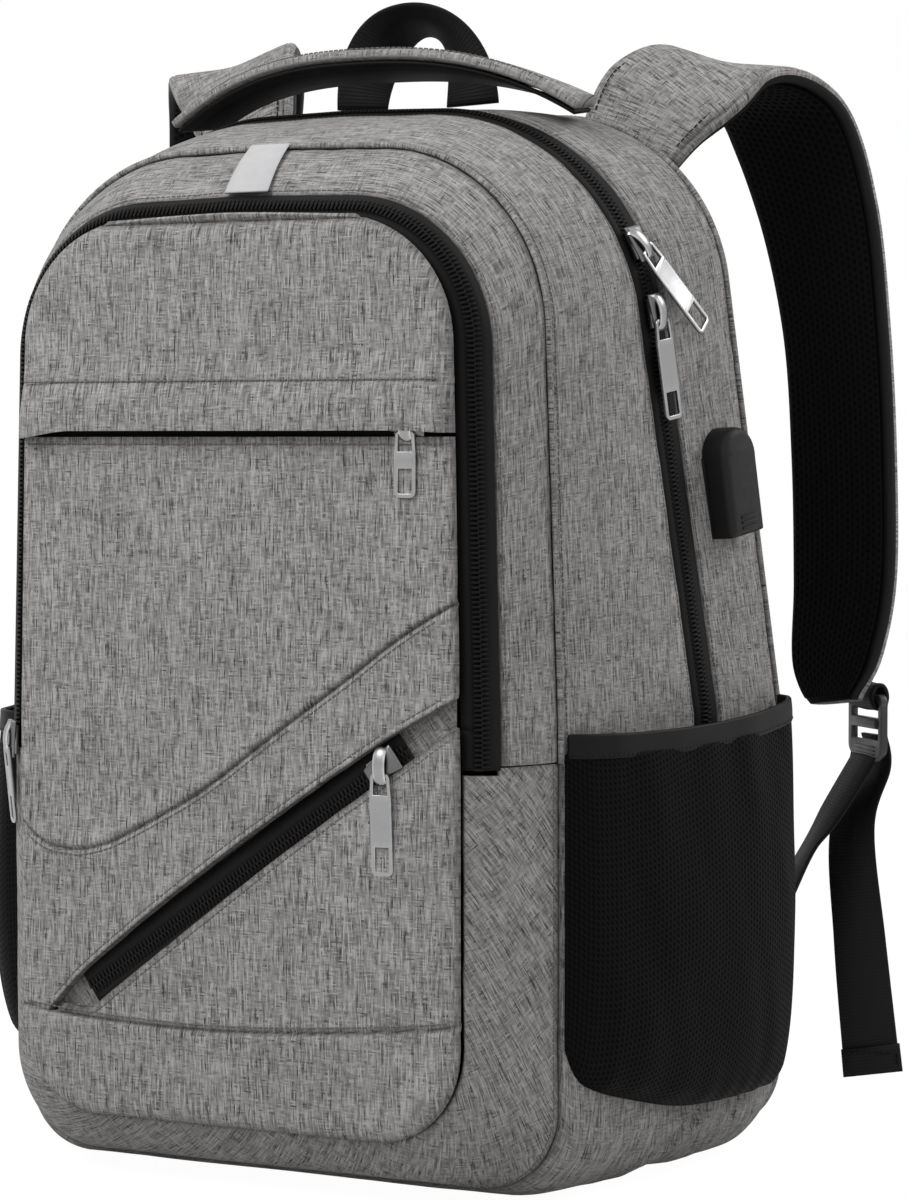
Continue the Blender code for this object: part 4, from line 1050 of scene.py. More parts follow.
def front_relief(x, z):
    """How far the front's cloth stands out from its flat face, and how dark its seams and rolled edges are painted,
    partly as grime and partly as painted shade.
    """
    spots = np.stack([x, z], -1)
    border, _, _ = nearest(spots, panel_outline())
    puff = sizes().front_puff
    wide = np.abs(x) / 0.1035
    out = puff * (1 - wide ** 2) * smooth_step((z - 0.03) / 0.09)
    roll = 9 * MM
    t = 1 - np.clip(border / roll, 0, 1)
    out = out - 3.6 * MM * (1 - np.sqrt(np.maximum(0, 1 - t ** 2.2)))
    # Painted shade and grime along the panel's edge, where the cloth rolls inwards; the seams below are darkened the
    # same way.
    seam = bell(border, 1.1) * 0.6
    depth = sizes().seam_depth
    for line, over in ((CURVED_SEAM, 0.9), (BOTTOM_SEAM, -0.5)):
        far, _, side = nearest(spots, rounded_line(line))
        out = out - depth * bell(far, 0.85)
        out = out + over * MM * (side > 0) * fade(far, 9)
        out = out + 0.25 * MM * bell(far - 3.2 * MM, 2.0)
        gather = ripple(x, z, 7, 7, 5.0) * fade(far, 6)
        out = out + 0.22 * MM * gather
        seam = np.maximum(seam, bell(far, 0.75))
    for line in (SLOT_TOP, SLOT_LOW):
        far, _, _ = nearest(spots, rounded_line(line))
        out = out + 0.9 * MM * fade(far, 7)
        out = out - 0.35 * MM * bell(far - 2.3 * MM, 0.8)
        out = out + 0.25 * MM * ripple(x, z, 8, 8, 9.0) * fade(far, 8)
        seam = np.maximum(seam, 0.8 * bell(far, 0.6))
    out = out + 0.55 * MM * ripple(x, z, 48, 60, 2.0) * smooth_step(border / (20 * MM))
    out = out + 0.22 * MM * ripple(x, z, 17, 26, 12.0) * smooth_step(border / (12 * MM))
    return out, seam


def front_grid():
    """The front's x and z from its bottom to the storm flap, and the row below the diagonal pocket's
    opening. The rows close up round the opening, so that its edges are clean."""
    columns, low_rows, high_rows = 201, 112, 176
    c = np.linspace(-1, 1, columns)
    x0 = c * 0.1015
    edge_low = np.interp(x0, *rounded_line(SLOT_LOW).T * MM)
    edge_top = np.interp(x0, *rounded_line(SLOT_TOP).T * MM)
    shut = x0 < SLOT_LOW[0][0] * MM
    edge_top = np.where(shut, edge_low, np.maximum(edge_top, edge_low))
    floor, top = STATIONS["face"][2] + 0.4 * MM, 303.6 * MM
    t = np.linspace(0, 1, low_rows) ** 1.35
    low = floor + (edge_low - floor) * t[:, None]
    t = np.linspace(0, 1, high_rows)
    high = edge_top + (top - edge_top) * t[:, None]
    z = np.concatenate([low, high])
    return c * panel_width(z), z, low_rows - 1


def front_panels():
    """The lower and middle front panels, cut at the fold, with the diagonal pocket's opening."""
    x, z, gap_row = front_grid()
    out, seam = front_relief(x, z)
    grid = np.stack([x, FRONT_Y - out, z], -1)
    keep = np.ones((len(x) - 1, x.shape[1] - 1), bool)
    keep[gap_row] = False
    maps = np.stack([x, z], -1)
    made = []
    for name, normal in (("front_panel_lower_cloth", (0, 0, 1)), ("front_panel_middle_cloth", (0, 0, -1))):
        made.append(cloth(name, grid, FRONT, 3.6 * MM, "cloth", maps=maps, seam=seam,
                          keep=keep, cut=((0, 0, FOLD_Z), normal), hem=0.5 * MM, weld=True))
    lower, middle = made
    belongs(lower, "bag", "front_panel_lower")
    belongs(middle, "front_flap", "front_panel_mid")
    slot_backing()
    front_stitches()


def front_face(points, lift=0.0):
    """Points on the front's cloth for (x, z) points in metres."""
    out, _ = front_relief(points[:, 0], points[:, 1])
    return np.stack([points[:, 0], FRONT_Y - out - lift, points[:, 1]], 1)


def slot_backing():
    """The strip of cloth that the diagonal zip is sewn to, seen at both ends of the pocket's opening."""
    low, top = rounded_line(SLOT_LOW) * MM, rounded_line(SLOT_TOP) * MM
    share = np.linspace(0, 1, 120)
    low, top = (np.stack([np.interp(share, np.linspace(0, 1, len(line)), line[:, k]) for k in (0, 1)], 1)
                for line in (low, top))
    inside = low[:, 0] < 100.2 * MM
    low, top = low[inside], top[inside]
    spread = np.linspace(-0.28, 1.28, 16)[:, None, None]
    flat = low + (top - low) * spread
    y = np.full(flat.shape[:2], FRONT_Y + 3.9 * MM)
    grid = np.stack([flat[..., 0], y, flat[..., 1]], -1)
    grid[:, :, 0] = np.clip(grid[:, :, 0], -99 * MM, 99.5 * MM)
    maps = np.stack([grid[..., 0], grid[..., 2]], -1)
    for name, body, normal in (("pocket_backing", "bag", (0, 0, 1)), ("pocket_backing_end", "front_flap", (0, 0, -1))):
        # Its cloth is the darker copy of the grey cloth, painted shade inside the opening.
        piece = cloth(name, grid, FRONT, 0.8 * MM, "cloth_slot", maps=maps, cut=((0, 0, FOLD_Z), normal), hem=0)
        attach(piece, body)


def offset_line(line, distance, low, high):
    """A smooth seam moved sideways (left of its run) and cut to a range of x; everything in metres."""
    smooth = rounded_line(line) * MM
    run = unit(np.gradient(smooth, axis=0))
    moved = smooth + np.stack([-run[:, 1], run[:, 0]], 1) * distance
    return moved[(moved[:, 0] > low * MM) & (moved[:, 0] < high * MM)]


def front_stitches():
    """Topstitching of the front panels, in two pieces that part at the fold."""
    rows = [offset_line(CURVED_SEAM, -2.4 * MM, -98, 99), offset_line(BOTTOM_SEAM, 2.2 * MM, -98, 100),
            offset_line(SLOT_TOP, 2.3 * MM, -84, 99), offset_line(SLOT_LOW, -2.3 * MM, -76, 99),
            np.stack([np.linspace(-96, 98, 60) * MM, np.full(60, 300.6 * MM)], 1)]
    for name, body, below in (("stitching_front_lower", "bag", True), ("stitching_front_middle", "front_flap", False)):
        runs = []
        for row in rows:
            part = row[row[:, 1] < FOLD_Z - 1 * MM] if below else row[row[:, 1] > FOLD_Z + 1 * MM]
            if len(part) > 2:
                points = front_face(part, 0.1 * MM)
                runs.append((points, everywhere(FRONT, points)))
        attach(stitching(name, runs), body)


def top_panel():
    """The top front panel, whose lower edge is the storm flap over the zip of the small pocket."""
    columns, rows = 161, 96
    c = np.linspace(-1, 1, columns)
    t = np.linspace(0, 1, rows)
    t = t * (1.5 - 0.5 * t)
    dip = 3.0 * MM * smooth_step((-c - 0.72) / 0.28) + 0.8 * MM * smooth_step((c - 0.8) / 0.2)
    start = FLAP_Z - dip
    top = STATIONS["face"][3] - 3.0 * MM
    z = start + (top - start) * t[:, None]
    wide = panel_width(np.minimum(z, top - 0.2 * MM))
    x = c * wide
    z = z + CROWN * (1 - np.abs(c) ** 1.6) * smooth_step((z - 0.335) / 0.055)
    out, seam = front_relief(x, z)
    height = z - start
    flap = 4.6 * MM * (1 - smooth_step((height - 6 * MM) / (26 * MM))) + 1.2 * MM
    flap = flap * smooth_step((1 - np.abs(c)) / 0.035) ** 0.5
    sag = 0.5 * MM * ripple(x, z, 30, 60, 21.0) * fade(height, 15)
    groove = 0.55 * MM * bell(z - FLAP_SEAM_Z, 0.9)
    # Painted shade and grime in the flap's sewn groove.
    seam = np.maximum(seam, 0.35 * bell(z - FLAP_SEAM_Z, 0.7))
    grid = np.stack([x, FRONT_Y - out - flap - sag + groove, z], -1)
    piece = cloth("front_panel_top_cloth", grid, FRONT, 1.6 * MM, "cloth",
                  maps=np.stack([x, z], -1), seam=seam, hem=0.6 * MM)
    belongs(piece, "front_flap", "front_panel_top")
    k = int(np.argmin(np.abs(z[:, columns // 2] - FLAP_SEAM_Z)))
    run = grid[k, 3:-3].copy()
    run[:, 2] = FLAP_SEAM_Z + 0.3 * MM
    run[:, 1] -= 0.45 * MM
    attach(stitching("stitching_front_top", [(run, everywhere(FRONT, run))]), "front_flap")


# ---------------------------------------------------------------- gussets

def tucked(face, rim, inward, deeper):
    """A line under the front's edge, moved in from the face line and to the back."""
    way = (face - rim) * (1, 0, 1)
    return face + unit(way) * inward + np.array([0, deeper, 0])


def bend_at_fold(piece, *nodes):
    """Bakes a piece's place into its mesh, and hides the frame pieces that it stands for."""
    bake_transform(piece)
    if nodes:
        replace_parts(piece, *nodes)


def front_gusset():
    """The band between the front zip and the crease."""
    grid = strip(high_line("rim", TUCK_Z), high_line("crease", TUCK_Z), 22, 0.5 * MM, 0.6 * MM, 1.6 * MM)
    grid, n, seam = relax(grid, seed=4.0, swell=0.6)
    piece = cloth("front_gusset_cloth", grid, n, GUSSET_THICK, "cloth", seam=seam * 0.8)
    bend_at_fold(piece, "front_gusset")
    rows = [along_edge(grid, n, 2.6 * MM)]
    bend_at_fold(stitching("stitching_front_gusset", rows))


def mid_gusset():
    """The band between the crease and the main zip."""
    grid = strip(high_line("crease", TUCK_Z), high_line("zip", TUCK_Z), 44, 0.8 * MM, MAIN_ZIP_HALF, 2.2 * MM)
    down, _ = lengths(grid)
    n = normals_of(grid, grid - MIDDLE)
    z = grid[..., 2]
    low = fade(z - TUCK_Z, 60)
    fans = np.sin(down / (10.5 * MM) + 1.2 * np.sin(z / (35 * MM)) + (z - TUCK_Z) / (90 * MM)) * low
    inner = smooth_step(np.minimum(down, down[-1] - down) / (16 * MM))
    grid = grid + n * (0.55 * MM * fans * inner)[..., None]
    grid, n, seam = relax(grid, seed=9.0, swell=1.1, size=70.0)
    piece = cloth("mid_gusset_cloth", grid, n, GUSSET_THICK, "cloth", seam=seam * 0.9)
    bend_at_fold(piece, "mid_gusset")
    rows = [along_edge(grid, n, 3.4 * MM), along_edge(grid, n, 2.4 * MM, last=True)]
    bend_at_fold(stitching("stitching_mid_gusset", rows))


def rear_gusset():
    """The band between the main zip and the back, which carries the charging port."""
    grid = strip(high_line("zip", TUCK_Z), high_line("back", TUCK_Z), 34, MAIN_ZIP_HALF, 1.2 * MM, 1.6 * MM)
    grid, n, seam = relax(grid, seed=14.0, swell=0.9, size=60.0)
    z = grid[..., 2]
    down, _ = lengths(grid)
    bunch = fade(z - TUCK_Z, 22) * np.sin(down / (5.2 * MM)) * smooth_step(down / (6 * MM))
    grid = grid + n * (0.7 * MM * bunch)[..., None]
    piece = cloth("rear_gusset_cloth", grid, n, GUSSET_THICK, "cloth", seam=seam * 0.9)
    belongs(piece, "bag", "rear_gusset")
    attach(stitching("stitching_rear_gusset", [along_edge(grid, n, 2.4 * MM)]), "bag")


def lower_wrap():
    """The sides and bottom, one piece of cloth under the side pockets and the whole bag."""
    top = TUCK_Z - 0.8 * MM
    names = ("crease", "belly", "zip", "heel", "back")
    grid = through([low_line(n, top) for n in names], 12)
    n = normals_of(grid, grid - LOW_MIDDLE)
    x, y, z = grid[..., 0], grid[..., 1], grid[..., 2]
    corner = np.stack([y, z], -1)
    dent = np.zeros_like(x)
    for line, depth in (([(38, 27), (24, 17), (8, 9), (-6, 3)], 3.0), ([(64, 30), (58, 16), (46, 6)], 1.0),
                        ([(-34, 44), (-40, 24), (-44, 10)], 0.9)):
        far, _, _ = nearest(corner, rounded_line(line))
        dent = dent + depth * bell(far, 2.4) - depth * 0.6 * bell(far - 5 * MM, 3.5)
    dent = dent * (np.abs(x) > 0.1)
    grid = grid - n * (dent * MM)[..., None]
    grid, n, seam = relax(grid, LOW_MIDDLE, seed=19.0, swell=0.8, size=45.0)
    grid[..., 2] = np.maximum(grid[..., 2], 0.1 * MM)
    piece = cloth("lower_wrap_cloth", grid, n, GUSSET_THICK, "cloth", seam=seam * 0.8)
    belongs(piece, "bag", "lower_wrap")


def lower_front_gusset():
    """The band that joins the lower front panel to the wrap, cut on the bias."""
    top = TUCK_Z - 0.6 * MM
    face, rim, crease = (low_line(n, top) for n in ("face", "rim", "crease"))
    grid = through([tucked(face, rim, 1.6 * MM, 1.6 * MM), face + (rim - face) * 0.08,
                    face + (rim - face) * 0.55, rim + (crease - rim) * 0.10,
                    rim + (crease - rim) * 0.55, crease + (rim - crease) * 0.02], 7)
    grid, n, seam = relax(grid, LOW_MIDDLE, seed=23.0, swell=0.7, size=40.0)
    z = grid[:-1, :-1, 2]
    rows = np.arange(len(grid) - 1)[:, None]
    keep = ~((z > ZIP_FOOT_Z - 0.5 * MM) & (rows < 19))
    piece = cloth("lower_front_gusset_cloth", grid, n, GUSSET_THICK, "cloth_bias", seam=seam * 0.8, keep=keep)
    belongs(piece, "bag", "lower_front_gusset")
    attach(stitching("stitching_lower_gusset", [along_edge(grid, n, 2.6 * MM, last=True)]), "bag")


def pipe(name, line, radius, finish_name, points=8):
    """A round cord along a line."""
    run = unit(np.gradient(line, axis=0))
    out = unit(line - np.array([0, line[:, 1].mean(), 0.22]))
    side = unit(np.cross(run, out))
    out = np.cross(side, run)
    turn = np.linspace(0, math.tau, points, endpoint=False)
    rings = (line[:, None, :] + out[:, None, :] * (np.cos(turn) * radius)[None, :, None]
             + side[:, None, :] * (np.sin(turn) * radius)[None, :, None])
    return tube(name, rings, [finish_name])


def piping():
    """The lip of cloth along the crease, and the bound edge round the back panel."""
    crease = high_line("crease", TUCK_Z)
    out = unit(np.stack([crease[:, 0], np.zeros(len(crease)), crease[:, 2] - 0.25], 1))
    lip = pipe("crease_piping_cloth", crease + out * 0.9 * MM + np.array([0, -0.4 * MM, 0]), 1.3 * MM, "cloth")
    bend_at_fold(lip, "crease_piping")
    high, low = high_line("back"), low_line("back")
    ring = np.concatenate([high, low[::-1][1:]])
    out = unit(np.stack([ring[:, 0], np.zeros(len(ring)), ring[:, 2] - 0.22], 1))
    edge = pipe("back_binding", ring - out * 0.5 * MM + np.array([0, 1.2 * MM, 0]), 1.3 * MM, "cloth_strap", 10)
    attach(edge, "bag")


# ---------------------------------------------------------------- zips

def tooth_shape():
    """One turn of the coil as it shows: a short rounded rib across half the zip."""
    rib = block("rib", (1.25 * MM, 3.5 * MM, 1.2 * MM), (0, 1.45 * MM, 0.75 * MM))
    edit(rib, lambda centre, normal: normal.y > 0.9, resized(0.8, 1, 0.45, (0, 3.2 * MM, 0.35 * MM)))
    edge = rib.modifiers.new("Edges", "BEVEL")
    edge.width = 0.3 * MM
    edge.segments = 1
    apply_modifiers(rib)
    return shape_of(rib)


def coil(name, line, normals, sign, pitch, phase):
    """The coil of one half of a zip. Sign is 1 where the half lies on the left of the line's run."""
    if "tooth" not in SHAPES:
        SHAPES["tooth"] = tooth_shape()
    at, x, y, z = paced(line, normals, pitch, phase)
    return copies(name, SHAPES["tooth"], (at, x * sign, y * sign, z), ["coil"])


def zip_half(name, centre, edge, normals, replaces, place, phase=0.25):
    """Half a zip: its tape from near the centre line to an edge line, and its coil. Place puts a piece
    on its body."""
    toward = unit(edge - centre)
    inner = centre + toward * 0.35 * MM
    rings = np.stack([inner - normals * 0.35 * MM, inner + normals * 0.35 * MM,
                      edge + normals * 0.35 * MM, edge - normals * 0.35 * MM], 1)
    place(tube(name + "_tape", rings, ["zip_tape"]), *replaces)
    run = np.gradient(centre, axis=0)
    sign = 1 if np.sum(np.cross(normals, run) * toward) > 0 else -1
    place(coil(name + "_coil", centre, normals, sign, sizes().coil_pitch, phase))


def riding(body):
    return lambda piece, *nodes: belongs(piece, body, *nodes)


def surface_normals(front, back):
    """Normals of the surface between two lines that run from right to left over the top."""
    return unit(np.cross(back - front, np.gradient(front, axis=0)))


def main_zip():
    """The zip of the main compartment, from pocket to pocket over the top."""
    line, crease, back = (high_line(n, TUCK_Z) for n in ("zip", "crease", "back"))
    n = surface_normals(crease, back)
    rear = line + unit(back - line) * (MAIN_ZIP_HALF + 1.5 * MM) - n * 0.9 * MM
    fore = line + unit(crease - line) * (MAIN_ZIP_HALF + 1.5 * MM) - n * 0.9 * MM
    line = line - n * 0.5 * MM
    zip_half("main_zip_rear", line, rear, n, ["main_zip_rear"], riding("bag"))
    zip_half("main_zip_front", line, fore, n, ["main_zip_front"], bend_at_fold, 0.75)


def front_zip():
    """The zip round the organiser, and its two feet below the fold."""
    face, rim = high_line("face", ZIP_FOOT_Z), high_line("rim", ZIP_FOOT_Z)
    n = surface_normals(face, rim)
    centre = (face + rim) / 2
    inner = tucked(face, rim, 2.0 * MM, 1.6 * MM)
    zip_half("front_zip_outer", centre, rim, n, ["front_zip_outer"], bend_at_fold, 0.75)
    above = centre[:, 2] >= FOLD_Z - 1e-9
    first, last = np.flatnonzero(above)[[0, -1]]
    zip_half("front_zip_inner", centre[first:last + 1], inner[first:last + 1], n[first:last + 1],
             ["front_zip_inner"], riding("front_flap"))
    for side, part in (("right", slice(0, first + 1)), ("left", slice(last, None))):
        zip_half("zip_foot_" + side + "_half", centre[part], inner[part], n[part], ["zip_foot_" + side],
                 riding("bag"))


def straight_zip(name, start, end, y, half, body, replaces):
    """A pocket's zip, straight, with both halves on one body. Start and end are (x, z)."""
    start, end = np.array(start), np.array(end)
    share = np.linspace(0, 1, 60)[:, None]
    flat = start + (end - start) * share
    line = np.stack([flat[:, 0], np.full(60, y), flat[:, 1]], 1)
    run = unit((end - start)[None])[0]
    out = everywhere(FRONT, line)
    for side, sign in (("upper", 1), ("lower", -1)):
        across = np.array([-run[1], 0, run[0]]) * sign * half
        zip_half(name + "_" + side, line, line + across, out, replaces if sign > 0 else [], riding(body),
                 0.25 if sign > 0 else 0.75)


def pocket_zips():
    run = unit((np.array(DIAG_HIGH) - np.array(DIAG_LOW))[None])[0]
    straight_zip("diagonal_zip", np.array(DIAG_LOW) - run * 1 * MM, np.array(DIAG_HIGH) + run * 1 * MM,
                 FRONT_Y + 1.9 * MM, 9.5 * MM, "bag", ["diag_zip"])
    straight_zip("flap_zip", (-92 * MM, FLAP_ZIP_Z), (92 * MM, FLAP_ZIP_Z), FRONT_Y + 3.0 * MM, 7 * MM,
                 "front_flap", ["flap_zip"])


# ---------------------------------------------------------------- sliders and pulls

EYE_HEIGHT = 4.7 * MM
JOINTS = {joint["name"]: joint for joint in frame["joints"]}


def slider_model():
    """A zip slider on its tape: X along the zip, Z outwards. Its crown is made apart."""
    top = block("slider", (15.5 * MM, 9.6 * MM, 1.5 * MM), (0, 0, 3.0 * MM))
    slice_at(top, (2.5 * MM, 0, 0), (1, 0, 0))
    edit(top, lambda centre, normal: normal.x > 0.9, resized(1, 1.12, 1))
    edit(top, lambda centre, normal: normal.x < -0.9, resized(1, 0.68, 1))
    edit(top, lambda centre, normal: normal.z > 0.9,
         inset(1.1 * MM, 0.5 * MM),
         inset(1.0 * MM, 0.25 * MM))
    flanges = [block("flange", (12.0 * MM, 1.0 * MM, 1.9 * MM), (0, side * 4.0 * MM, 2.0 * MM)) for side in (-1, 1)]
    joined(top, *flanges, block("under", (14.0 * MM, 8.6 * MM, 1.1 * MM), (0, 0, -1.7 * MM)))
    return rounded(top, 0.45 * MM)


def crown_model():
    """The loop on a slider that the pull hangs from."""
    ring = added(bpy.ops.mesh.primitive_torus_add, major_segments=28, minor_segments=10, major_radius=3.3 * MM,
                 minor_radius=0.8 * MM, rotation=(math.pi / 2, 0, 0), location=(0, 0, 3.0 * MM))
    edit(ring, lambda centre, normal: True, bisected((0, 0, 2.6 * MM), (0, 0, -1), clear_outer=True, use_fill=True),
        lambda: bpy.ops.mesh.select_all(action="SELECT"),
        resized(1.9, 3.4, 0.9, (0, 0, 3.0 * MM)))
    return shaded(ring)


def pull_model(length, width):
    """A pull tab: origin on the slider's loop, -X down its length, Z outwards."""
    eye, neck, grip = -2.6 * MM, -12.5 * MM, -length + 13.0 * MM
    plate = block("pull", (length + eye, width, 1.5 * MM), ((eye - length) / 2, 0, 0))
    for at in (neck, grip):
        slice_at(plate, (at, 0, 0), (1, 0, 0))
    edit(plate, lambda centre, normal: normal.x > 0.9, resized(1, 0.86, 1))
    edit(plate, lambda centre, run: abs(run.z) > 0.9 and centre.x < -length + 0.5 * MM,
         bevelled(2.4 * MM, 4), kind="EDGE")
    edit(plate, lambda centre, run: abs(run.z) > 0.9 and centre.x > eye - 0.5 * MM,
         bevelled(1.8 * MM, 3), kind="EDGE")
    window(plate, -length, grip, 1.7 * MM)
    window(plate, neck, eye, 1.4 * MM)
    middle = -length / 2 + 2.5 * MM
    edit(plate, lambda centre, normal: normal.z > 0.9 and abs(centre.x - middle) < 4 * MM, inset(1.3 * MM, -0.2 * MM))
    return rounded(plate, 0.32 * MM)


def turned_out(joint, along, eye=EYE_HEIGHT):
    """A slider's frame from the joint of its pull: on the tape, X along the zip, Z outwards."""
    pos, axis = Vector(JOINTS[joint]["pos_m"]), Vector(JOINTS[joint]["axis"])
    out = along.cross(axis)
    if out.length < 0.1:
        out = Vector((0, -1, 0))
    out.normalize()
    if out.dot(pos - Vector((0, 0.05, 0.25))) < 0:
        out = -out
    return frame_matrix(pos - out * eye, along, out.cross(along)), out


def facing(origin, x_axis, axis, out):
    """A frame whose Z points outwards, with its Y along the axis or against it."""
    matrix = frame_matrix(origin, x_axis, axis)
    return matrix if matrix.col[2].to_3d().dot(out) >= 0 else frame_matrix(origin, x_axis, -axis)


def pull_matrix(joint, node, out):
    """A pull's frame from its joint and where its frame piece hangs."""
    pos, axis = Vector(JOINTS[joint]["pos_m"]), Vector(JOINTS[joint]["axis"])
    points = points_of(frame["nodes"][node])
    middle = Vector((points.min(0) + points.max(0)) / 2)
    x = pos - middle
    x = (x - axis * x.dot(axis)).normalized()
    return facing(pos, x, axis, out)


# Each slider's joints, its body, its pull's body, and the pull's length and width.
SLIDERS = {
    "main_upper": ("upper", "main_slider_upper", "main_pull_upper", 46 * MM, 11.5 * MM),
    "main_lower": ("lower", "main_slider_lower", "main_pull_lower", 44 * MM, 11.5 * MM),
    "front": ("front", "front_slider", "front_pull", 35 * MM, 7.5 * MM),
    "diagonal": ("diagonal", "diagonal_slider", "diagonal_pull", 43 * MM, 9.5 * MM),
    "flap": ("flap", "flap_slider", "flap_pull", 29 * MM, 9.5 * MM),
}


def travel_direction(joints):
    """Which way the zip runs under a slider, from the joint that the slider travels on."""
    joint = JOINTS[joints + "_slider_travel"]
    axis = Vector(joint["axis"])
    if joint["type"] == "slide":
        return axis
    pos = Vector(JOINTS[joints + "_pull_swing"]["pos_m"])
    return axis.cross(pos - Vector(joint["pos_m"])).normalized()


def sliders():
    """All five sliders with their loops and pulls."""
    body, crown = slider_model(), crown_model()
    for name, (joints, slider_body, pull_body, length, width) in SLIDERS.items():
        joint = joints + "_pull_swing"
        along = travel_direction(joints)
        matrix, out = turned_out(joint, along, 4.3 * MM if name == "flap" else EYE_HEIGHT)
        axis = Vector(JOINTS[joint]["axis"])
        loop_matrix = facing(matrix.translation, axis.cross(out), axis, out)
        piece = put(twin(body, "slider_%s_body" % name), matrix)
        ring = put(twin(crown, "loop"), loop_matrix @ Matrix.Scale(0.92 if name == "flap" else 1.0, 4, (0, 0, 1)))
        dress(ring, "nickel")
        piece = joined(dress(piece, "slider"), ring)
        belongs(piece, slider_body, "slider_" + name)
        clear = Matrix.Translation((0, 0, 1.0 * MM if name == "front" else 0))
        tab = put(pull_model(length, width), pull_matrix(joint, "pull_" + name, out) @ clear,
                  "pull_%s_tab" % name)
        belongs(dress(tab, "nickel"), pull_body, "pull_" + name)
    for spare in (body, crown):
        bpy.data.objects.remove(spare, do_unlink=True)


# ---------------------------------------------------------------- side pockets

POCKET_FRONT, POCKET_BACK = -54 * MM, 91 * MM
POCKET_FLOOR = [(-54, 62), (-45, 47), (-15, 37), (25, 29), (75, 29), (91, 34)]
POCKET_HEM = 10 * MM


def pocket_mouth(u):
    """Height of the pocket's upper edge, which climbs to the back and sags a little."""
    return (187 + 8 * u - 3 * np.sin(np.pi * u)) * MM


def pocket_face(u, z, lift, edge_lift, full, lean):
    """A pocket's cloth, seen as on the right. U runs from its front edge to its back edge."""
    y = POCKET_FRONT + (POCKET_BACK - POCKET_FRONT) * u
    floor = np.interp(y, *rounded_line(POCKET_FLOOR).T * MM)
    rise = np.clip((z - floor) / (pocket_mouth(u) - floor), 0, 1)
    across = np.maximum(np.sin(np.pi * np.clip(u, 0, 1) ** lean), 0) ** 0.36
    bulge = full * MM * across * rise ** 0.4 * (1.5 - 0.9 * rise)
    rim = smooth_step(np.minimum(np.minimum(u, 1 - u) / 0.05, rise / 0.05))
    x = side_at(y, z) + edge_lift + (lift - edge_lift) * rim + bulge
    return np.stack([x, y, z], -1), floor


def side_pocket(side, name, full, lean):
    """A net pocket and its bound top edge; full is how far it stands off the bag's side, in millimetres,
    and lean is over 1 where it is fullest towards the back."""
    columns, rows = 64, 62
    u = np.broadcast_to(np.linspace(0, 1, columns), (rows, columns))
    _, floor = pocket_face(u, np.full_like(u, 0.1), 0, 0, full, lean)
    below = pocket_mouth(u) - POCKET_HEM
    z = floor + (below + 2 * MM - floor) * spaced(rows, 0.3)[:, None]
    grid, _ = pocket_face(u, z, 2.7 * MM, 1.4 * MM, full, lean)
    n = normals_of(grid, np.array([1.0, 0, 0]))
    pull = fade(below - z, 45) * np.sin(u * 31) * 0.5
    slack = wander(u * 5, z / (35 * MM), 31.0) * 1.1 + wander(u * 14 + z * 30, z / (60 * MM), 33.0) * 0.5
    inside = smooth_step(np.minimum(u, 1 - u) / 0.12) * smooth_step((z - floor) / (16 * MM))
    ease = np.sin(u * 55 + 2 * np.sin(u * 9)) * fade(z - floor, 9) * 0.45
    grid = grid + n * ((pull + slack) * inside * MM + ease * smooth_step((z - floor) / (3 * MM)) * MM)[..., None]
    # Painted shade and grime along the net's sides and floor, where it is sewn to the bag.
    seam = np.exp(-np.minimum(np.minimum(u, 1 - u) * 142 * MM, z - floor) / (1.2 * MM))
    net = cloth("side_pocket_%s_net" % name, grid, n, 1.0 * MM, "pocket_net", "pocket_net", seam=seam, hem=0.3 * MM)
    t = np.linspace(0, 1, 12)[:, None]
    hem_grid, _ = pocket_face(u[:12], below[:12] + POCKET_HEM * t, 3.5 * MM, 2.6 * MM, full, lean)
    hem_n = normals_of(hem_grid, np.array([1.0, 0, 0]))
    hem_grid = hem_grid + hem_n * (0.3 * MM * wander(u[:12] * 9, t * 2, 37.0))[..., None]
    hem = cloth("pocket_hem_%s_binding" % name, hem_grid, hem_n, 2.3 * MM, "binding", "binding", hem=0.9 * MM)
    sewn = stitching("stitching_hem_" + name, [along_edge(hem_grid, hem_n, 1.6 * MM)], 2.4 * MM, "thread_black")
    for piece, node in ((net, "side_pocket_"), (hem, "pocket_hem_"), (sewn, None)):
        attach(sided(piece, side), "bag")
        if node:
            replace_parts(piece, node + name)


# ---------------------------------------------------------------- charging port

def port_matrix():
    """On the right side between the main zip and the back: X across, Y up, Z outwards."""
    y, z = 58 * MM, 285 * MM
    zip_x, back_x = float(width_at("zip", z)), float(width_at("back", z))
    zip_y, back_y = float(depth_at("zip", z)), float(depth_at("back", z))
    x = zip_x + (back_x - zip_x) * (y - zip_y) / (back_y - zip_y)
    back_way = Vector((back_x - zip_x, back_y - zip_y, 0)).normalized()
    along = Vector((-0.07, -0.14, 1)).normalized()
    out = back_way.cross(along).normalized()
    return frame_matrix(Vector((x, y, z)) + out * 0.6 * MM, out.cross(along) * -1, along)


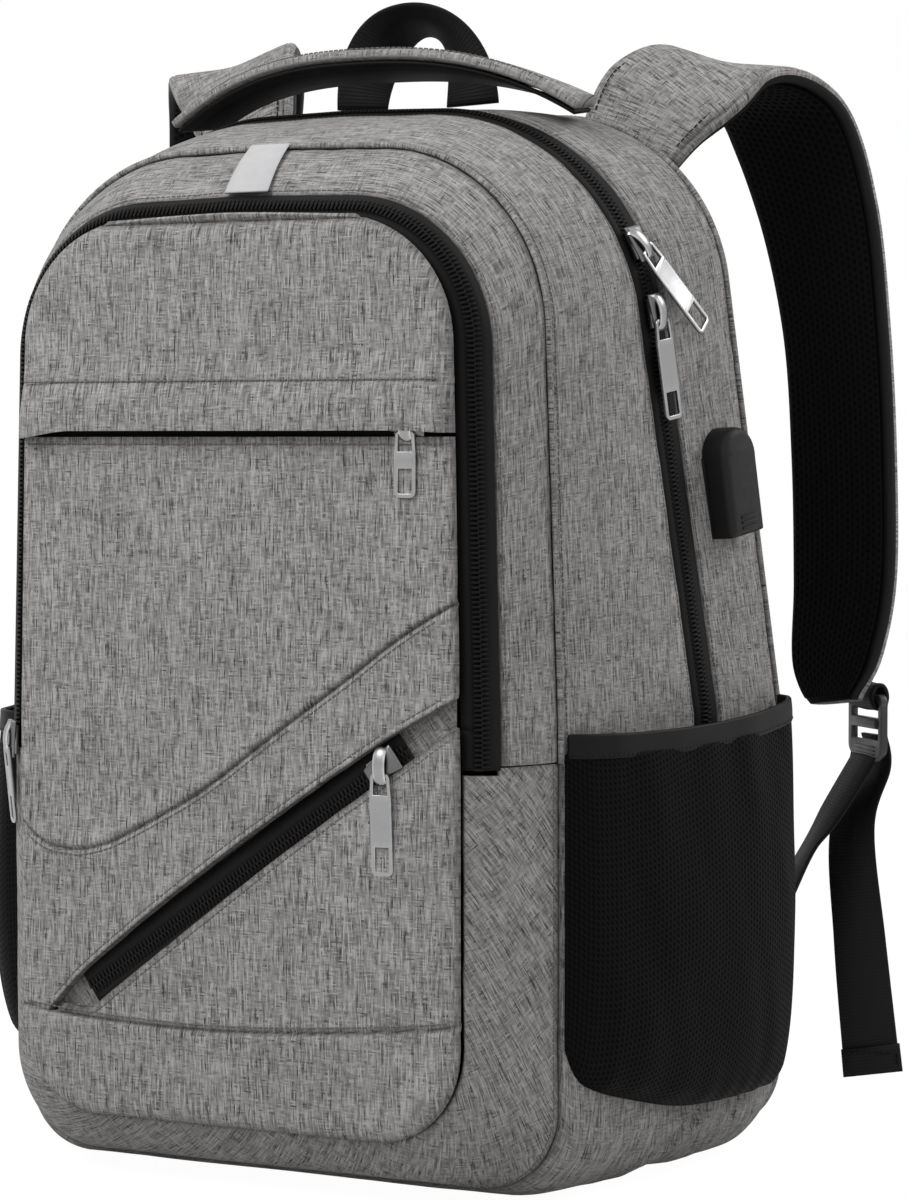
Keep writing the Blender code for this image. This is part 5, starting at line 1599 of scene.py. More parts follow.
def charging_port():
    """The rubber hood over the charging socket, with its mouth down, and the socket inside."""
    half_w, half_h, deep = 12 * MM, 22.5 * MM, 12 * MM
    hood = added(bpy.ops.mesh.primitive_cylinder_add, vertices=48, radius=half_w, depth=deep,
                 location=(0, half_h - half_w, deep / 2))
    edit(hood, lambda centre, normal: True,
         bisected((0, half_h - half_w, 0), (0, -1, 0), clear_outer=True, use_fill=True))
    edit(hood, lambda centre, normal: normal.y < -0.9, extruded(0, half_w - 2 * half_h, 0))
    edit(hood, lambda centre, normal: normal.y < -0.9 and centre.y < -half_h + MM,
         inset(2.6 * MM, 0),
         extruded(0, 13.5 * MM, 0))
    edit(hood, lambda centre, run: abs(run.z) < 0.1 and centre.z > deep - 0.1 * MM,
         bevelled(3.4 * MM, 5), kind="EDGE")
    edit(hood, lambda centre, run: abs(run.z) > 0.9 and centre.y < -half_h + 0.2 * MM and abs(centre.x) > 11 * MM,
         bevelled(1.2 * MM, 3), kind="EDGE")
    ridges = [block("ridge", (11 * MM, 0.9 * MM, 1.0 * MM), (0, -half_h + (3.4 + 2.3 * k) * MM, deep))
              for k in range(3)]
    skirt = block("skirt", (25.4 * MM, 34 * MM, 1.2 * MM), (0, -5.4 * MM, 0.5 * MM))
    hood = joined(hood, skirt, *ridges)
    hood = put(rounded(hood, 0.3 * MM, 50.0), port_matrix(), "usb_hood_rubber")
    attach(dress(hood, "rubber"), "bag")
    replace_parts(hood, "usb_hood")
    for node, name in (("usb_socket", "nickel"), ("usb_tongue", "buckle"), ("base_board", "board")):
        obj = frame["nodes"][node]
        for place in obj.material_slots:
            place.material = material_of(name)


# ---------------------------------------------------------------- padded pieces and bands

SWELL_FRAMES = 20


def plump(obj, pressure, cap, pinned):
    """Lets a padded piece swell like stuffed cloth. Pinned is how firmly each point is sewn down, from
    0 to 1, and no point moves further than the cap."""
    before = points_of(obj)
    held = obj.vertex_groups.new(name="sewn")
    for k, weight in enumerate(np.asarray(pinned).ravel()):
        if weight > 0.02:
            held.add([k], float(weight), "REPLACE")
    sim = obj.modifiers.new("Cloth", "CLOTH")
    sim.settings.vertex_group_mass = "sewn"
    sim.settings.use_pressure = True
    sim.settings.uniform_pressure_force = pressure
    sim.settings.effector_weights.gravity = 0
    sim.settings.quality = 6
    sim.settings.tension_stiffness = 25
    sim.settings.compression_stiffness = 15
    sim.settings.bending_stiffness = 0.6
    scene = bpy.context.scene
    for frame_number in range(1, SWELL_FRAMES + 1):
        scene.frame_set(frame_number)
    seen = obj.evaluated_get(bpy.context.evaluated_depsgraph_get())
    after = np.array([v.co for v in seen.data.vertices])
    scene.frame_set(1)
    obj.modifiers.remove(sim)
    obj.vertex_groups.remove(held)
    step = after - before
    far = np.linalg.norm(step, axis=1, keepdims=True)
    after = before + step * np.minimum(1, cap / np.maximum(far, 1e-9))
    obj.data.vertices.foreach_set("co", after.ravel())
    obj.data.update()
    return obj


def along_path(stations, steps):
    """Centres and width vectors through stations of six numbers in millimetres."""
    flat = through([np.array([s], float) for s in stations], steps)[:, 0] * MM
    return flat[:, :3], flat[:, 3:]


def band(name, centres, sides, profile, finishes, looks=None):
    """A strap or tape through stations. The profile is a ring of (share of the half-width, drawn in by,
    height above the centre). Looks gives each gap of the ring its finish."""
    run = unit(np.gradient(centres, axis=0))
    across = unit(sides - run * np.sum(sides * run, -1, keepdims=True))
    up = np.cross(across, run)
    half = np.linalg.norm(sides, axis=-1, keepdims=True) / 2
    share, inset, high = np.asarray(profile, float).T
    wide = share * np.maximum(half - inset, 0.2 * MM)
    rings = centres[:, None] + across[:, None] * wide[..., None] + up[:, None] * high[None, :, None]
    obj = tube(name, rings, finishes)
    if looks is not None:
        per = len(profile)
        for face in obj.data.polygons:
            if len(face.vertices) == 4:
                columns = sorted(k % per for k in face.vertices)
                first = columns[-1] if columns[0] == 0 and columns[-1] == per - 1 else columns[0]
                face.material_index = looks[first]
    return obj, up


def flat_profile(thick):
    """The ring of a woven tape: flat, with soft edges."""
    h, s = thick / 2, 0.35 * thick
    return [(1, 0, -h + s), (1, 0, h - s), (1, s, h), (0.33, 0, h + 0.12 * h), (-0.33, 0, h + 0.12 * h),
             (-1, s, h), (-1, 0, h - s), (-1, 0, -h + s), (-1, s, -h), (1, s, -h)]


# ---------------------------------------------------------------- handles

def reflective_tab():
    """A short slanted tab of silver tape on the front gusset, sewn in at both ends."""
    rim, crease = STATIONS["rim"], STATIONS["crease"]
    low, high = np.array([0, rim[6], rim[3]]), np.array([0, crease[6], crease[3]])
    out = np.cross([1.0, 0, 0], unit(high - low))
    t = np.linspace(0, 1, 24)[:, None]
    centres = low + (high - low) * t + out * (1.9 + 1.3 * np.sin(np.pi * t)) * MM
    centres[:, :1] = -5 * MM * t
    share, inset, high = np.array(flat_profile(0.8 * MM)).T
    wide = (share * (10 - 1.0 * t) * MM - np.sign(share) * inset)[..., None] * np.array([-1.0, 0, 0])
    rings = centres[:, None] + wide + high[None, :, None] * out
    obj = tube("reflective_tab_tape", rings, ["reflective"])
    bend_at_fold(obj, "reflective_tab")


def carry_handle():
    """The padded grey carry handle, lined underneath with black webbing."""
    t = np.linspace(-1, 1, 121)
    centres = np.stack([94 * t, 34 - 13 * (1 - t ** 2), 442.2 + 19.6 * (1 - np.abs(t) ** 2.6)], 1) * MM
    tilt = (1 - t ** 2) * 6 * MM
    wide = (31 + 4 * np.abs(t) ** 6) * MM
    sides = np.stack([0 * t, -wide, tilt], 1)
    edge = [(1, 0, -1.6 * MM), (1, 0, 0.6 * MM)]
    top = [(s, 1.0 * MM if abs(s) > 0.95 else 0, (0.9 + 2.6 * (1 - abs(s) ** 3.2)) * MM)
           for s in np.linspace(0.97, -0.97, 23)]
    under = [(s, 0, -2.4 * MM) for s in np.linspace(-0.96, 0.96, 9)]
    profile = edge + top + [(-1, 0, 0.6 * MM), (-1, 0, -1.6 * MM)] + under
    obj, up = band("carry_handle_pad", centres, sides, profile, ["cloth_strap"])
    ends = np.exp(-((1 - np.abs(t)) * 94 / 5) ** 2)
    pinned = np.clip(np.array([0.0 if abs(p[0]) < 0.9 and p[2] > 0 else 1.0 for p in profile])[None, :]
                     + ends[:, None], 0, 1)
    plump(obj, 3.0, 1.6 * MM, pinned)
    bottom, _ = band("carry_handle_webbing", centres - up * 4.0 * MM, sides * 0.88, flat_profile(1.7 * MM),
                        ["webbing"])
    for piece, node in ((obj, "carry_handle"), (bottom, "carry_handle_underside")):
        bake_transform(piece)
        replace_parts(piece, node)
    rows = []
    for share in (0.8, -0.8):
        line = centres + unit(sides) * (wide / 2 * share)[:, None] + up * 2.7 * MM
        rows.append((line[8:-8], up[8:-8]))
    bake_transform(stitching("stitching_handle", rows))


def haul_loop():
    """The tall loop of black webbing behind the handle, twisted to lie flat on itself at its ends."""
    angle = np.linspace(0, np.pi, 97)
    twist = np.sin(angle)
    centres = np.stack([(1.5 - 27 * np.cos(angle) * (1 - 0.1 * twist)) * MM, (58 + 2 * twist) * MM,
                        (446 + 38 * twist ** 0.8) * MM], 1)
    sides = -np.stack([np.cos(angle) * 25, 21 * twist, -12 * twist], 1) * MM
    obj, _ = band("haul_loop_webbing", centres, sides, flat_profile(2.2 * MM), ["webbing"])
    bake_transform(obj)
    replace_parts(obj, "haul_loop")


# ---------------------------------------------------------------- shoulder straps

STRAP_ROOT = np.array([96, 78, 426.0]) * MM
ANCHOR = np.array([132, 104, 75.0]) * MM
SEWN_SHARE = 0.86          # how far the tongues reach from the bag to the strap's ends


def strap_stations(side):
    """Centre and width of a shoulder strap, in millimetres; the left one stands a little taller and wider."""
    path = np.array([(94, 78, 428, 43, 2, -20), (104, 92, 449, 53, 4, -22), (121, 117, 459.5, 61, 4, -12),
                     (137, 142.5, 444, 63, -5, -11), (147.5, 157, 404, 60, -11, -9), (153.5, 165.5, 351, 54, -13, -5),
                     (156.5, 167.5, 295, 53, -14, 0), (158, 165.5, 240, 52, -15, 0), (156, 160.5, 204, 45, -17, 0),
                     (157, 158, 187, 25, -12, 0)], float)
    if side < 0:
        path[:, 0] += (0, 1, 3, 4, 4, 3, 3, 2, 0, 0)
        path[:, 2] += (0, 6, 10, 9, 4, 1, 0, 0, 0, 0)
    return path


def sided(obj, side):
    """The piece, turned into its mirror image for the left side."""
    if side < 0:
        obj.data.transform(Matrix.Scale(-1, 4, (1, 0, 0)))
        obj.data.flip_normals()
    return obj


def shoulder_strap(side, name):
    """A padded strap: grey cloth outside, bound in black, with air mesh against the shoulder."""
    centres, sides = along_path(strap_stations(side), 14)
    outer = [(s, 2.6 * MM if abs(s) > 0.97 else 0, (3.4 + 2.6 * (1 - abs(s) ** 3)) * MM)
             for s in np.linspace(0.99, -0.99, 25)]
    edge = [(1, 1.3 * MM, -3.6 * MM), (1, 0.3 * MM, -2.2 * MM), (1, 0, 0), (1, 0.3 * MM, 2.2 * MM),
            (1, 1.4 * MM, 3.5 * MM)]
    far = [(-a, b, c) for a, b, c in edge[::-1]]
    under = [(s, 2.6 * MM if abs(s) > 0.95 else 0, -3.5 * MM) for s in np.linspace(-0.97, 0.97, 11)]
    profile = edge + outer + far + under
    looks = [1, 1] + [0] * (len(outer) + 5) + [1] * (len(under) + 3)
    obj, up = band("strap_%s_pad" % name, centres, sides, profile, ["cloth_strap", "binding"], looks)
    ends = np.minimum(np.arange(len(centres)), np.arange(len(centres))[::-1])
    sewn = np.array([1.0 if c < 0 or abs(a) > 0.9 else 0.0 for a, b, c in profile])
    pinned = np.clip(sewn[None, :] + np.exp(-(ends / 2.5) ** 2)[:, None], 0, 1)
    plump(obj, 4.0, 2.2 * MM, pinned)
    mesh_side = [(s, 2.0 * MM if abs(s) > 0.95 else 0, (-0.9 - 0.9 * (1 - abs(s) ** 4)) * MM)
                 for s in np.linspace(-0.98, 0.98, 19)]
    flat_side = [(s, 2.0 * MM if abs(s) > 0.95 else 0, 0.8 * MM) for s in np.linspace(0.98, -0.98, 9)]
    lining, _ = band("strap_lining_%s_mesh" % name, (centres - up * 5.1 * MM)[3:-3], (sides * 0.95)[3:-3],
                        mesh_side + flat_side, ["air_mesh"])
    rows = []
    for share in (1, -1):
        half = np.linalg.norm(sides, axis=-1, keepdims=True) / 2
        line = centres + unit(sides) * share * (half - 4.6 * MM) + up * 5.2 * MM
        rows.append((line[4:-4], up[4:-4]))
    sewing = stitching("stitching_strap_" + name, rows, 2.8 * MM, "thread_black")
    for piece in (obj, lining, sewing):
        sided(piece, side)
        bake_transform(piece)
    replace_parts(obj, "strap_" + name)
    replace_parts(lining, "strap_lining_" + name)
    strap_root(side, name)


def strap_root(side, name):
    """The tongue of cloth that carries the strap off the bag, and the wing that holds its lower end."""
    narrow = np.interp(np.linspace(0, 1, 24)[:, None], [0, 0.35, 1], [1, 0.66, 0.34])
    t = np.linspace(0, 1, 20)[:, None]
    for piece, low, high, sides, thick, look in (
            ("strap_root", (90, 73, 417), STRAP_ROOT, (53, 0, -22) * narrow, 3.4 * MM, "cloth_strap"),
            ("strap_anchor", (120, 101.5, 16), ANCHOR, t * (-17, -2, 0) + (40, 0, 0), 3.2 * MM, "cloth")):
        low = np.array(low) * MM
        centres = low + (high - low) * np.linspace(0, 1, len(sides))[:, None] * SEWN_SHARE
        tongue, _ = band("%s_%s_cloth" % (piece, name), centres, sides * MM, flat_profile(thick), [look])
        belongs(sided(tongue, side), "bag", "%s_%s" % (piece, name))


def strap_end():
    """At the bar that joins the right strap to its buckle: X along the bar, Y up, Z to the front."""
    end = strap_stations(1)[-1, :3] + (11.5, 9.4, 1)
    return frame_matrix(Vector(end * MM), (0.724, -0.69, 0), (0, 0, 1))


def buckle_model():
    """The ladder lock: X across, Y up, Z to the front; curved, with two windows and a pull lip."""
    plate = block("buckle", (34 * MM, 27 * MM, 3.2 * MM), (0, -10.7 * MM, 0))
    for y in (-1.6, -7.6, -12.4, -17.6):
        slice_at(plate, (0, y * MM, 0), (0, 1, 0))
    for x in (-13.2, 13.2):
        slice_at(plate, (x * MM, 0, 0), (1, 0, 0))
    edit(plate, lambda centre, run: abs(run.z) > 0.9 and abs(centre.x) > 16 * MM
         and (centre.y > 2 * MM or centre.y < -23 * MM),
         bevelled(4.5 * MM, 5), kind="EDGE")
    for low, high in ((-7.6, -1.6), (-17.6, -12.4)):
        edit(plate, lambda centre, normal: abs(normal.z) > 0.9 and abs(centre.x) < 13 * MM
             and low * MM < centre.y < high * MM, lambda: bpy.ops.mesh.bridge_edge_loops())
    edit(plate, lambda centre, normal: normal.z > 0.9 and abs(centre.x) < 13 * MM and -12.4 * MM < centre.y < -7.6 * MM,
         extruded(0, 0, 1.1 * MM),
         resized(0.96, 0.6, 1, (0, -10 * MM, 0)))
    edit(plate, lambda centre, normal: normal.y < -0.9 and centre.y < -23.5 * MM,
         extruded(0, -2.4 * MM, 1.6 * MM),
         resized(0.9, 1, 0.8, (0, -26 * MM, 1.6 * MM)))
    grip = [block("rib", (20 * MM, 0.9 * MM, 0.9 * MM), (0, (-20.4 - 1.7 * k) * MM, 1.7 * MM)) for k in range(3)]
    joined(plate, *grip)
    return rounded(plate, 0.55 * MM)


def buckle_set(side, name):
    """The webbing tab, the buckle, the webbing down to the bag and the loose tail."""
    frame_at = strap_end()
    flat_side = np.array(frame_at.to_3x3() @ Vector((25 * MM, 0, 0)))
    turn = np.linspace(0, math.tau, 28, endpoint=False)
    loop = []
    for x in np.linspace(-12.5, 12.5, 9) * MM:
        flare = 0.15 * MM * math.cos(x * 400)
        outer = np.stack([np.full(28, x), 1.8 * MM + (6.2 * MM + flare) * np.cos(turn), 4.3 * MM * np.sin(turn)], 1)
        loop.append(outer)
    hollow = [np.stack([r[:, 0], 1.8 * MM + (r[:, 1] - 1.8 * MM) * 0.74, r[:, 2] * 0.64], 1) for r in loop]
    tab = mesh_from("buckle_tab_%s_webbing" % name, *hollow_tube(moved_rings(frame_at, loop),
                                                                 moved_rings(frame_at, hollow)))
    tidy_normals(tab)
    dress(tab, "webbing")
    lock = put(buckle_model(), frame_at, "buckle_%s_lock" % name)
    dress(lock, "buckle")
    top = np.array(frame_at @ Vector((0, -24.6 * MM, 1.0 * MM)))
    path = [[*(top / MM), *(flat_side / MM)], (156, 157, 139, 17, -17, 0), (146.5, 150, 121, 13, -20, 0),
            (139.5, 130, 98, 17, -18, 0), [*(ANCHOR / MM), 24, -4, 0]]
    centres, sides = along_path(path, 18)
    low, _ = band("lower_webbing_%s_tape" % name, centres, sides, flat_profile(1.6 * MM), ["webbing"])
    start = np.array(frame_at @ Vector((0, -15.5 * MM, -3.1 * MM)))
    shown, front = np.array([0.887, 0.462, 0]), np.array([0.462, -0.887, 0])
    back = np.array(frame_at.col[2][:3]) * -1.2 * MM
    stops = [(0, 0, 0, flat_side), (0, 14, 1.5, flat_side), (-11, 42, 1.5, (0.022, -0.0035, 0)),
             (-7, 92, 1, shown * 0.023), (-1, 151, 1, shown * 0.025)]
    path = [[*(start + back * far + shown * over * MM - [0, 0, down * MM]), *wide] for over, down, far, wide in stops]
    centres, sides = along_path(np.array(path) / MM, 18)
    tail, _ = band("tail_%s_tape" % name, centres, sides, flat_profile(1.6 * MM), ["webbing"])
    fold, _ = band("tail_%s_fold" % name, centres[-6:] + front * 1.5 * MM, sides[-6:] * 1.06,
                      flat_profile(1.5 * MM), ["webbing"])
    bow = front * 2.4 * MM
    run = centres[-5:-1] + bow
    rows = [(run + shown * s, everywhere(front, run)) for s in (-0.0115, 0.0115)]
    cross = centres[-5] + bow + shown * np.linspace(-0.0115, 0.0115, 12)[:, None]
    rows.append((cross, everywhere(front, cross)))
    sewing = stitching("stitching_tail_" + name, rows, 2.6 * MM, "thread_black")
    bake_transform(sided(low, side))
    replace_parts(low, "lower_webbing_" + name)
    for piece, body, node in ((tab, "shoulder_strap_", "buckle_tab_"), (lock, "strap_buckle_", "buckle_"),
                              (tail, "strap_tail_", "tail_"),
                              (fold, "strap_tail_", None), (sewing, "strap_tail_", None)):
        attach(sided(piece, side), body + name)
        if node:
            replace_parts(piece, node + name)


def moved_rings(matrix, rings):
    return np.array([[matrix @ Vector(p) for p in ring] for ring in rings])


def hollow_tube(outer, inner):
    """Points and faces of a closed wall between two nested tubes."""
    rows, count = outer.shape[:2]
    points = np.concatenate([outer.reshape(-1, 3), inner.reshape(-1, 3)])
    shift = rows * count
    outside = grid_faces(rows, count, wrap=True)
    faces = outside.tolist() + (outside[:, ::-1] + shift).tolist()
    for row in (0, rows - 1):
        for k in range(count):
            a, b = row * count + k, row * count + (k + 1) % count
            faces.append([a, b, b + shift, a + shift] if row else [b, a, a + shift, b + shift])
    maps = np.stack([points[:, 2], points[:, 0]], 1)
    return points, faces, maps, np.zeros(len(points))


# ---------------------------------------------------------------- back and inside

def slab(name, station, inset, shift, low, high, thick, finishes, columns, rows, relief=None):
    """A closed pad that follows a station: its outer face, an inner face behind it and a rim between."""
    z = np.linspace(low, high, rows)[:, None] + np.zeros((1, columns))
    c = np.linspace(-1, 1, columns)[None, :]
    half = width_at(station, z) - inset
    x = half * c
    y = depth_at(station, z) + shift
    outer = np.stack([x, y, z], -1)
    n = normals_of(outer, np.array([0, 1.0, 0]))
    edge = np.minimum((1 - np.abs(c)) * half, np.minimum(z - low, high - z))
    rim = np.sqrt(np.clip(edge / (thick * 0.55), 0, 1) * (2 - np.clip(edge / (thick * 0.55), 0, 1)))
    height = relief(x, z, edge) if relief else 0 * x
    face = outer - n * (thick / 2 * (1 - rim) - height * rim)[..., None]
    inner = outer - n * (thick / 2 + thick / 2 * rim)[..., None]
    points = np.concatenate([face.reshape(-1, 3), inner.reshape(-1, 3)])
    shift_by = rows * columns
    quads = grid_faces(rows, columns)
    faces = np.concatenate([quads[:, ::-1], quads + shift_by])
    maps = np.concatenate([np.stack([x, z], -1).reshape(-1, 2)] * 2)
    obj = mesh_from(name, points, faces, maps, np.zeros(len(points)))
    work = bmesh.new()
    work.from_mesh(obj.data)
    work.verts.ensure_lookup_table()
    edge_of = np.zeros((rows, columns), bool)
    edge_of[[0, -1]] = True
    edge_of[:, [0, -1]] = True
    for k in np.flatnonzero(edge_of.ravel()):
        work.verts[k].co = work.verts[k + shift_by].co = (work.verts[k].co + work.verts[k + shift_by].co) / 2
    bmesh.ops.remove_doubles(work, verts=work.verts, dist=1e-7)
    bmesh.ops.recalc_face_normals(work, faces=work.faces)
    work.to_mesh(obj.data)
    work.free()
    return dress(obj, *finishes)


PAD_FOOT, PAD_TOP, PAD_EDGE = 12 * MM, 434.6 * MM, 5.2 * MM
CHANNEL_LOW, CHANNEL_HIGH = 142 * MM, 290 * MM      # heights of the sewn channels across the back


def back_panel():
    """The padded back: three pillows of air mesh parted by sewn channels."""
    def channel(z):
        """Distance to the nearest sewn channel."""
        return np.minimum(np.abs(z - CHANNEL_LOW), np.abs(z - CHANNEL_HIGH) + np.where(z > 0.2, 0, 1))

    def relief(x, z, edge):
        near = np.minimum(channel(z), edge)
        puffed = 5.0 * MM * (1 - fade(near, 7)) - 1.5 * MM
        return puffed + 0.5 * MM * ripple(x, z, 40, 50, 41.0) * smooth_step(near / (15 * MM))
    obj = slab("back_panel_pad", "back", PAD_EDGE, 1.0 * MM, PAD_FOOT, PAD_TOP, 9 * MM, ["air_mesh"], 121, 161, relief)
    points = points_of(obj)
    z = points[:, 2]
    near = np.minimum(channel(z), width_at("back", z) - PAD_EDGE - np.abs(points[:, 0]))
    near = np.minimum(near, np.minimum(z - PAD_FOOT, PAD_TOP - z))
    behind = points[:, 1] < depth_at("back", z) - 3.0 * MM
    pinned = np.where(behind, 1.0, bell(near, 3.0))
    plump(obj, 3.0, 3.0 * MM, pinned)
    belongs(obj, "bag", "back_panel")


DIVIDER_Y = -61.9 * MM


def inside():
    """The padded laptop sleeve and the divider, in its two parts."""
    def quilted(x, z, edge):
        return (1.2 * MM * smooth_step(edge / (18 * MM))
                + 0.5 * MM * ripple(x, z, 50, 60, 51.0) * smooth_step(edge / (20 * MM)))
    obj = slab("laptop_sleeve_pad", "back", 16 * MM, -35.2 * MM, 12 * MM, 330 * MM, 5 * MM, ["lining"], 71, 81,
                  quilted)
    belongs(obj, "bag", "laptop_sleeve")
    for name, body, low, high in (("divider_lower", "bag", 16.5 * MM, 187.8 * MM),
                                  ("divider_upper", "front_half", 192.2 * MM, 408 * MM)):
        z = np.linspace(low, high, 60)[:, None] + np.zeros((1, 61))
        c = np.linspace(-1, 1, 61)[None, :]
        x = c * (width_at("crease", np.clip((z - 0.212) * 1.06 + 0.212, 0.006, 0.4195)) - 12.5 * MM)
        y = DIVIDER_Y + 0.35 * MM * ripple(x, z, 45, 45, 61.0)
        grid = np.stack([x, y, z], -1)
        piece = cloth(name + "_cloth", grid, FRONT, 1.0 * MM, "lining", hem=0)
        belongs(piece, body, name)


# ---------------------------------------------------------------- studio

def camera():
    """The camera, a little to the bag's right and level with its middle."""
    view = bpy.context.scene.backpack_stage
    turn, down = view.camera_turn, view.camera_tilt
    lens = bpy.data.cameras.new("Camera")
    lens.lens = view.camera_lens
    lens.sensor_width = 36.0
    lens.clip_start, lens.clip_end = 0.05, 50.0
    obj = bpy.data.objects.new("Camera", lens)
    forward = Vector((-math.sin(turn) * math.cos(down), math.cos(turn) * math.cos(down), -math.sin(down)))
    obj.location = view.camera_place
    obj.rotation_euler = forward.to_track_quat("-Z", "Y").to_euler()
    link(obj)
    bpy.context.scene.camera = obj


def lamp(name, place, target, width, power):
    light = bpy.data.lights.new(name, "AREA")
    light.shape = "RECTANGLE"
    light.size, light.size_y = width
    light.energy = power
    obj = bpy.data.objects.new(name, light)
    obj.location = place
    obj.rotation_euler = (Vector(target) - Vector(place)).to_track_quat("-Z", "Y").to_euler()
    link(obj)


def studio():
    """A pale floor, a white surround and three large soft lamps."""
    scene = bpy.context.scene
    view = scene.backpack_stage
    scene.view_settings.view_transform = "Standard"
    world = bpy.data.worlds.new("Studio")
    scene.world = world
    world.use_nodes = True
    n = Nodes(world.node_tree)
    path = n.add("ShaderNodeLightPath")
    seen = n.math("MAXIMUM", path.outputs["Is Camera Ray"], path.outputs["Is Transmission Ray"])
    glossy = n.times(path.outputs["Is Glossy Ray"], 0.85)
    seen = n.math("MAXIMUM", seen, glossy)
    strength = n.blend(seen, view.ambient, 1.0)
    n.tree.links.new(strength, world.node_tree.nodes["Background"].inputs["Strength"])
    world.node_tree.nodes["Background"].inputs["Color"].default_value = (1, 1, 1, 1)
    lamp("Key light", (-0.6, -1.25, 1.6), (0, 0, 0.3), (1.2, 1.0), view.key_power)
    lamp("Fill light", (2.2, -1.2, 1.1), (0, 0, 0.22), (1.4, 1.6), view.fill_power)
    lamp("Side light", (1.7, 1.6, 2.0), (0, 0.05, 0.28), (1.2, 1.4), view.side_power)
    floor = added(bpy.ops.mesh.primitive_plane_add, size=12.0, location=(0, 0, -0.15 * MM))
    floor.name = "Floor"
    made, n, shader = finish("Pale floor", (0.5, 0.5, 0.5), 0.9, Specular_IOR_Level=0.0, Emission_Strength=1.0)
    path = n.add("ShaderNodeLightPath")
    seen = n.math("MAXIMUM", path.outputs["Is Camera Ray"], path.outputs["Is Glossy Ray"])
    n.tree.links.new(n.mix(seen, (0.5, 0.5, 0.5, 1), (0.08, 0.08, 0.08, 1)), shader.inputs["Base Color"])
    n.tree.links.new(n.mix(seen, (0, 0, 0, 1), (0.97, 0.97, 0.97, 1)), shader.inputs["Emission Color"])
    floor.data.materials.append(made)


# ---------------------------------------------------------------- add-on

def number_of(name, default, description, **kind):
    return bpy.props.FloatProperty(name=name, description=description, default=default, **kind)


def size_of(name, default, description):
    return number_of(name, default, description, min=0.0, precision=5, unit="LENGTH", subtype="DISTANCE")


def colour_of(name, default, description):
    return bpy.props.FloatVectorProperty(name=name, description=description, default=default, size=3, min=0.0,
                                         max=1.0, subtype="COLOR")


class BackpackSizes(bpy.types.PropertyGroup):
    thread: size_of("Thread width", 0.00058, "Width of one thread of the grey cloth")
    front_puff: size_of("Front puff", 0.0018, "How far the middle of the front stands proud of its edges")
    seam_depth: size_of("Seam depth", 0.0011, "How deep the sewn seams lie in the padded cloth")
    coil_pitch: size_of("Zip coil pitch", 0.0019, "Distance from one turn of a zip's coil to the next")


class BackpackLooks(bpy.types.PropertyGroup):
    cloth_dark: colour_of("Cloth, dark threads", (0.064, 0.0622, 0.0615), "Darkest threads of the grey cloth")
    cloth_light: colour_of("Cloth, light threads", (0.56, 0.542, 0.53), "Lightest threads of the grey cloth")
    mesh: colour_of("Mesh", (0.0016, 0.0016, 0.0018), "Side pockets, air mesh of the back and straps")
    webbing: colour_of("Webbing", (0.0042, 0.0042, 0.0045), "Webbing and bindings")
    zip: colour_of("Zip tape", (0.0045, 0.0045, 0.005), "Tapes of the zips")
    lining: colour_of("Lining", (0.035, 0.035, 0.038), "Lining and laptop sleeve")
    thread: colour_of("Sewing thread", (0.20, 0.195, 0.19), "Topstitching of the grey cloth")
    coil: colour_of("Zip coil", (0.006, 0.006, 0.0065), "Coils of the zips")
    metal: colour_of("Zip sliders", (0.32, 0.32, 0.325), "Sliders and pulls")
    plastic: colour_of("Buckles", (0.015, 0.015, 0.016), "Strap buckles")
    rubber: colour_of("Port hood", (0.006, 0.006, 0.0065), "Hood of the charging port")
    reflective: colour_of("Reflective tab", (0.62, 0.62, 0.63), "Silver tab on the front gusset")


class BackpackStage(bpy.types.PropertyGroup):
    camera_place: bpy.props.FloatVectorProperty(
        name="Camera place", description="Where the camera stands", default=(0.73858, -1.3235, 0.302), size=3,
        unit="LENGTH", subtype="TRANSLATION")
    camera_turn: number_of("Camera turn", math.radians(27.5), "How far to the bag's right it stands",
                           subtype="ANGLE", unit="ROTATION")
    camera_tilt: number_of("Camera tilt", math.radians(2.53), "How far the camera looks down", subtype="ANGLE",
                           unit="ROTATION")
    camera_lens: number_of("Focal length", 108.0, "Focal length of the camera", unit="CAMERA")
    key_power: number_of("Key light", 21.0, "Power of the main lamp", min=0.0, unit="POWER")
    fill_power: number_of("Fill light", 2.5, "Power of the lamp on the port's side", min=0.0, unit="POWER")
    side_power: number_of("Side light", 28.0, "Power of the lamp behind the port's side", min=0.0, unit="POWER")
    ambient: number_of("Surround", 0.4, "Light from all round", min=0.0, max=1.0, subtype="FACTOR")


def run(*steps):
    for step in steps:
        step()
    return {"FINISHED"}


class BACKPACK_OT_stage(bpy.types.Operator):
    """Set up the camera, the lamps and the floor"""
    bl_idname = "backpack.stage"
    bl_label = "Camera and studio"

    def execute(self, context):
        return run(camera, studio)


class BACKPACK_OT_front(bpy.types.Operator):
    """Build the front panels, the pocket openings and the storm flap"""
    bl_idname = "backpack.front"
    bl_label = "Front panels"

    def execute(self, context):
        return run(front_panels, top_panel)


class BACKPACK_OT_gussets(bpy.types.Operator):
    """Build the bands of cloth round the sides and top"""
    bl_idname = "backpack.gussets"
    bl_label = "Gussets"

    def execute(self, context):
        return run(front_gusset, mid_gusset, rear_gusset, piping, reflective_tab)


class BACKPACK_OT_base(bpy.types.Operator):
    """Build the cloth of the lower sides and the bottom"""
    bl_idname = "backpack.base"
    bl_label = "Lower wrap"

    def execute(self, context):
        return run(lower_wrap, lower_front_gusset)


class BACKPACK_OT_zips(bpy.types.Operator):
    """Build the tapes and coils of the zips"""
    bl_idname = "backpack.zips"
    bl_label = "Zips"

    def execute(self, context):
        return run(main_zip, front_zip, pocket_zips)


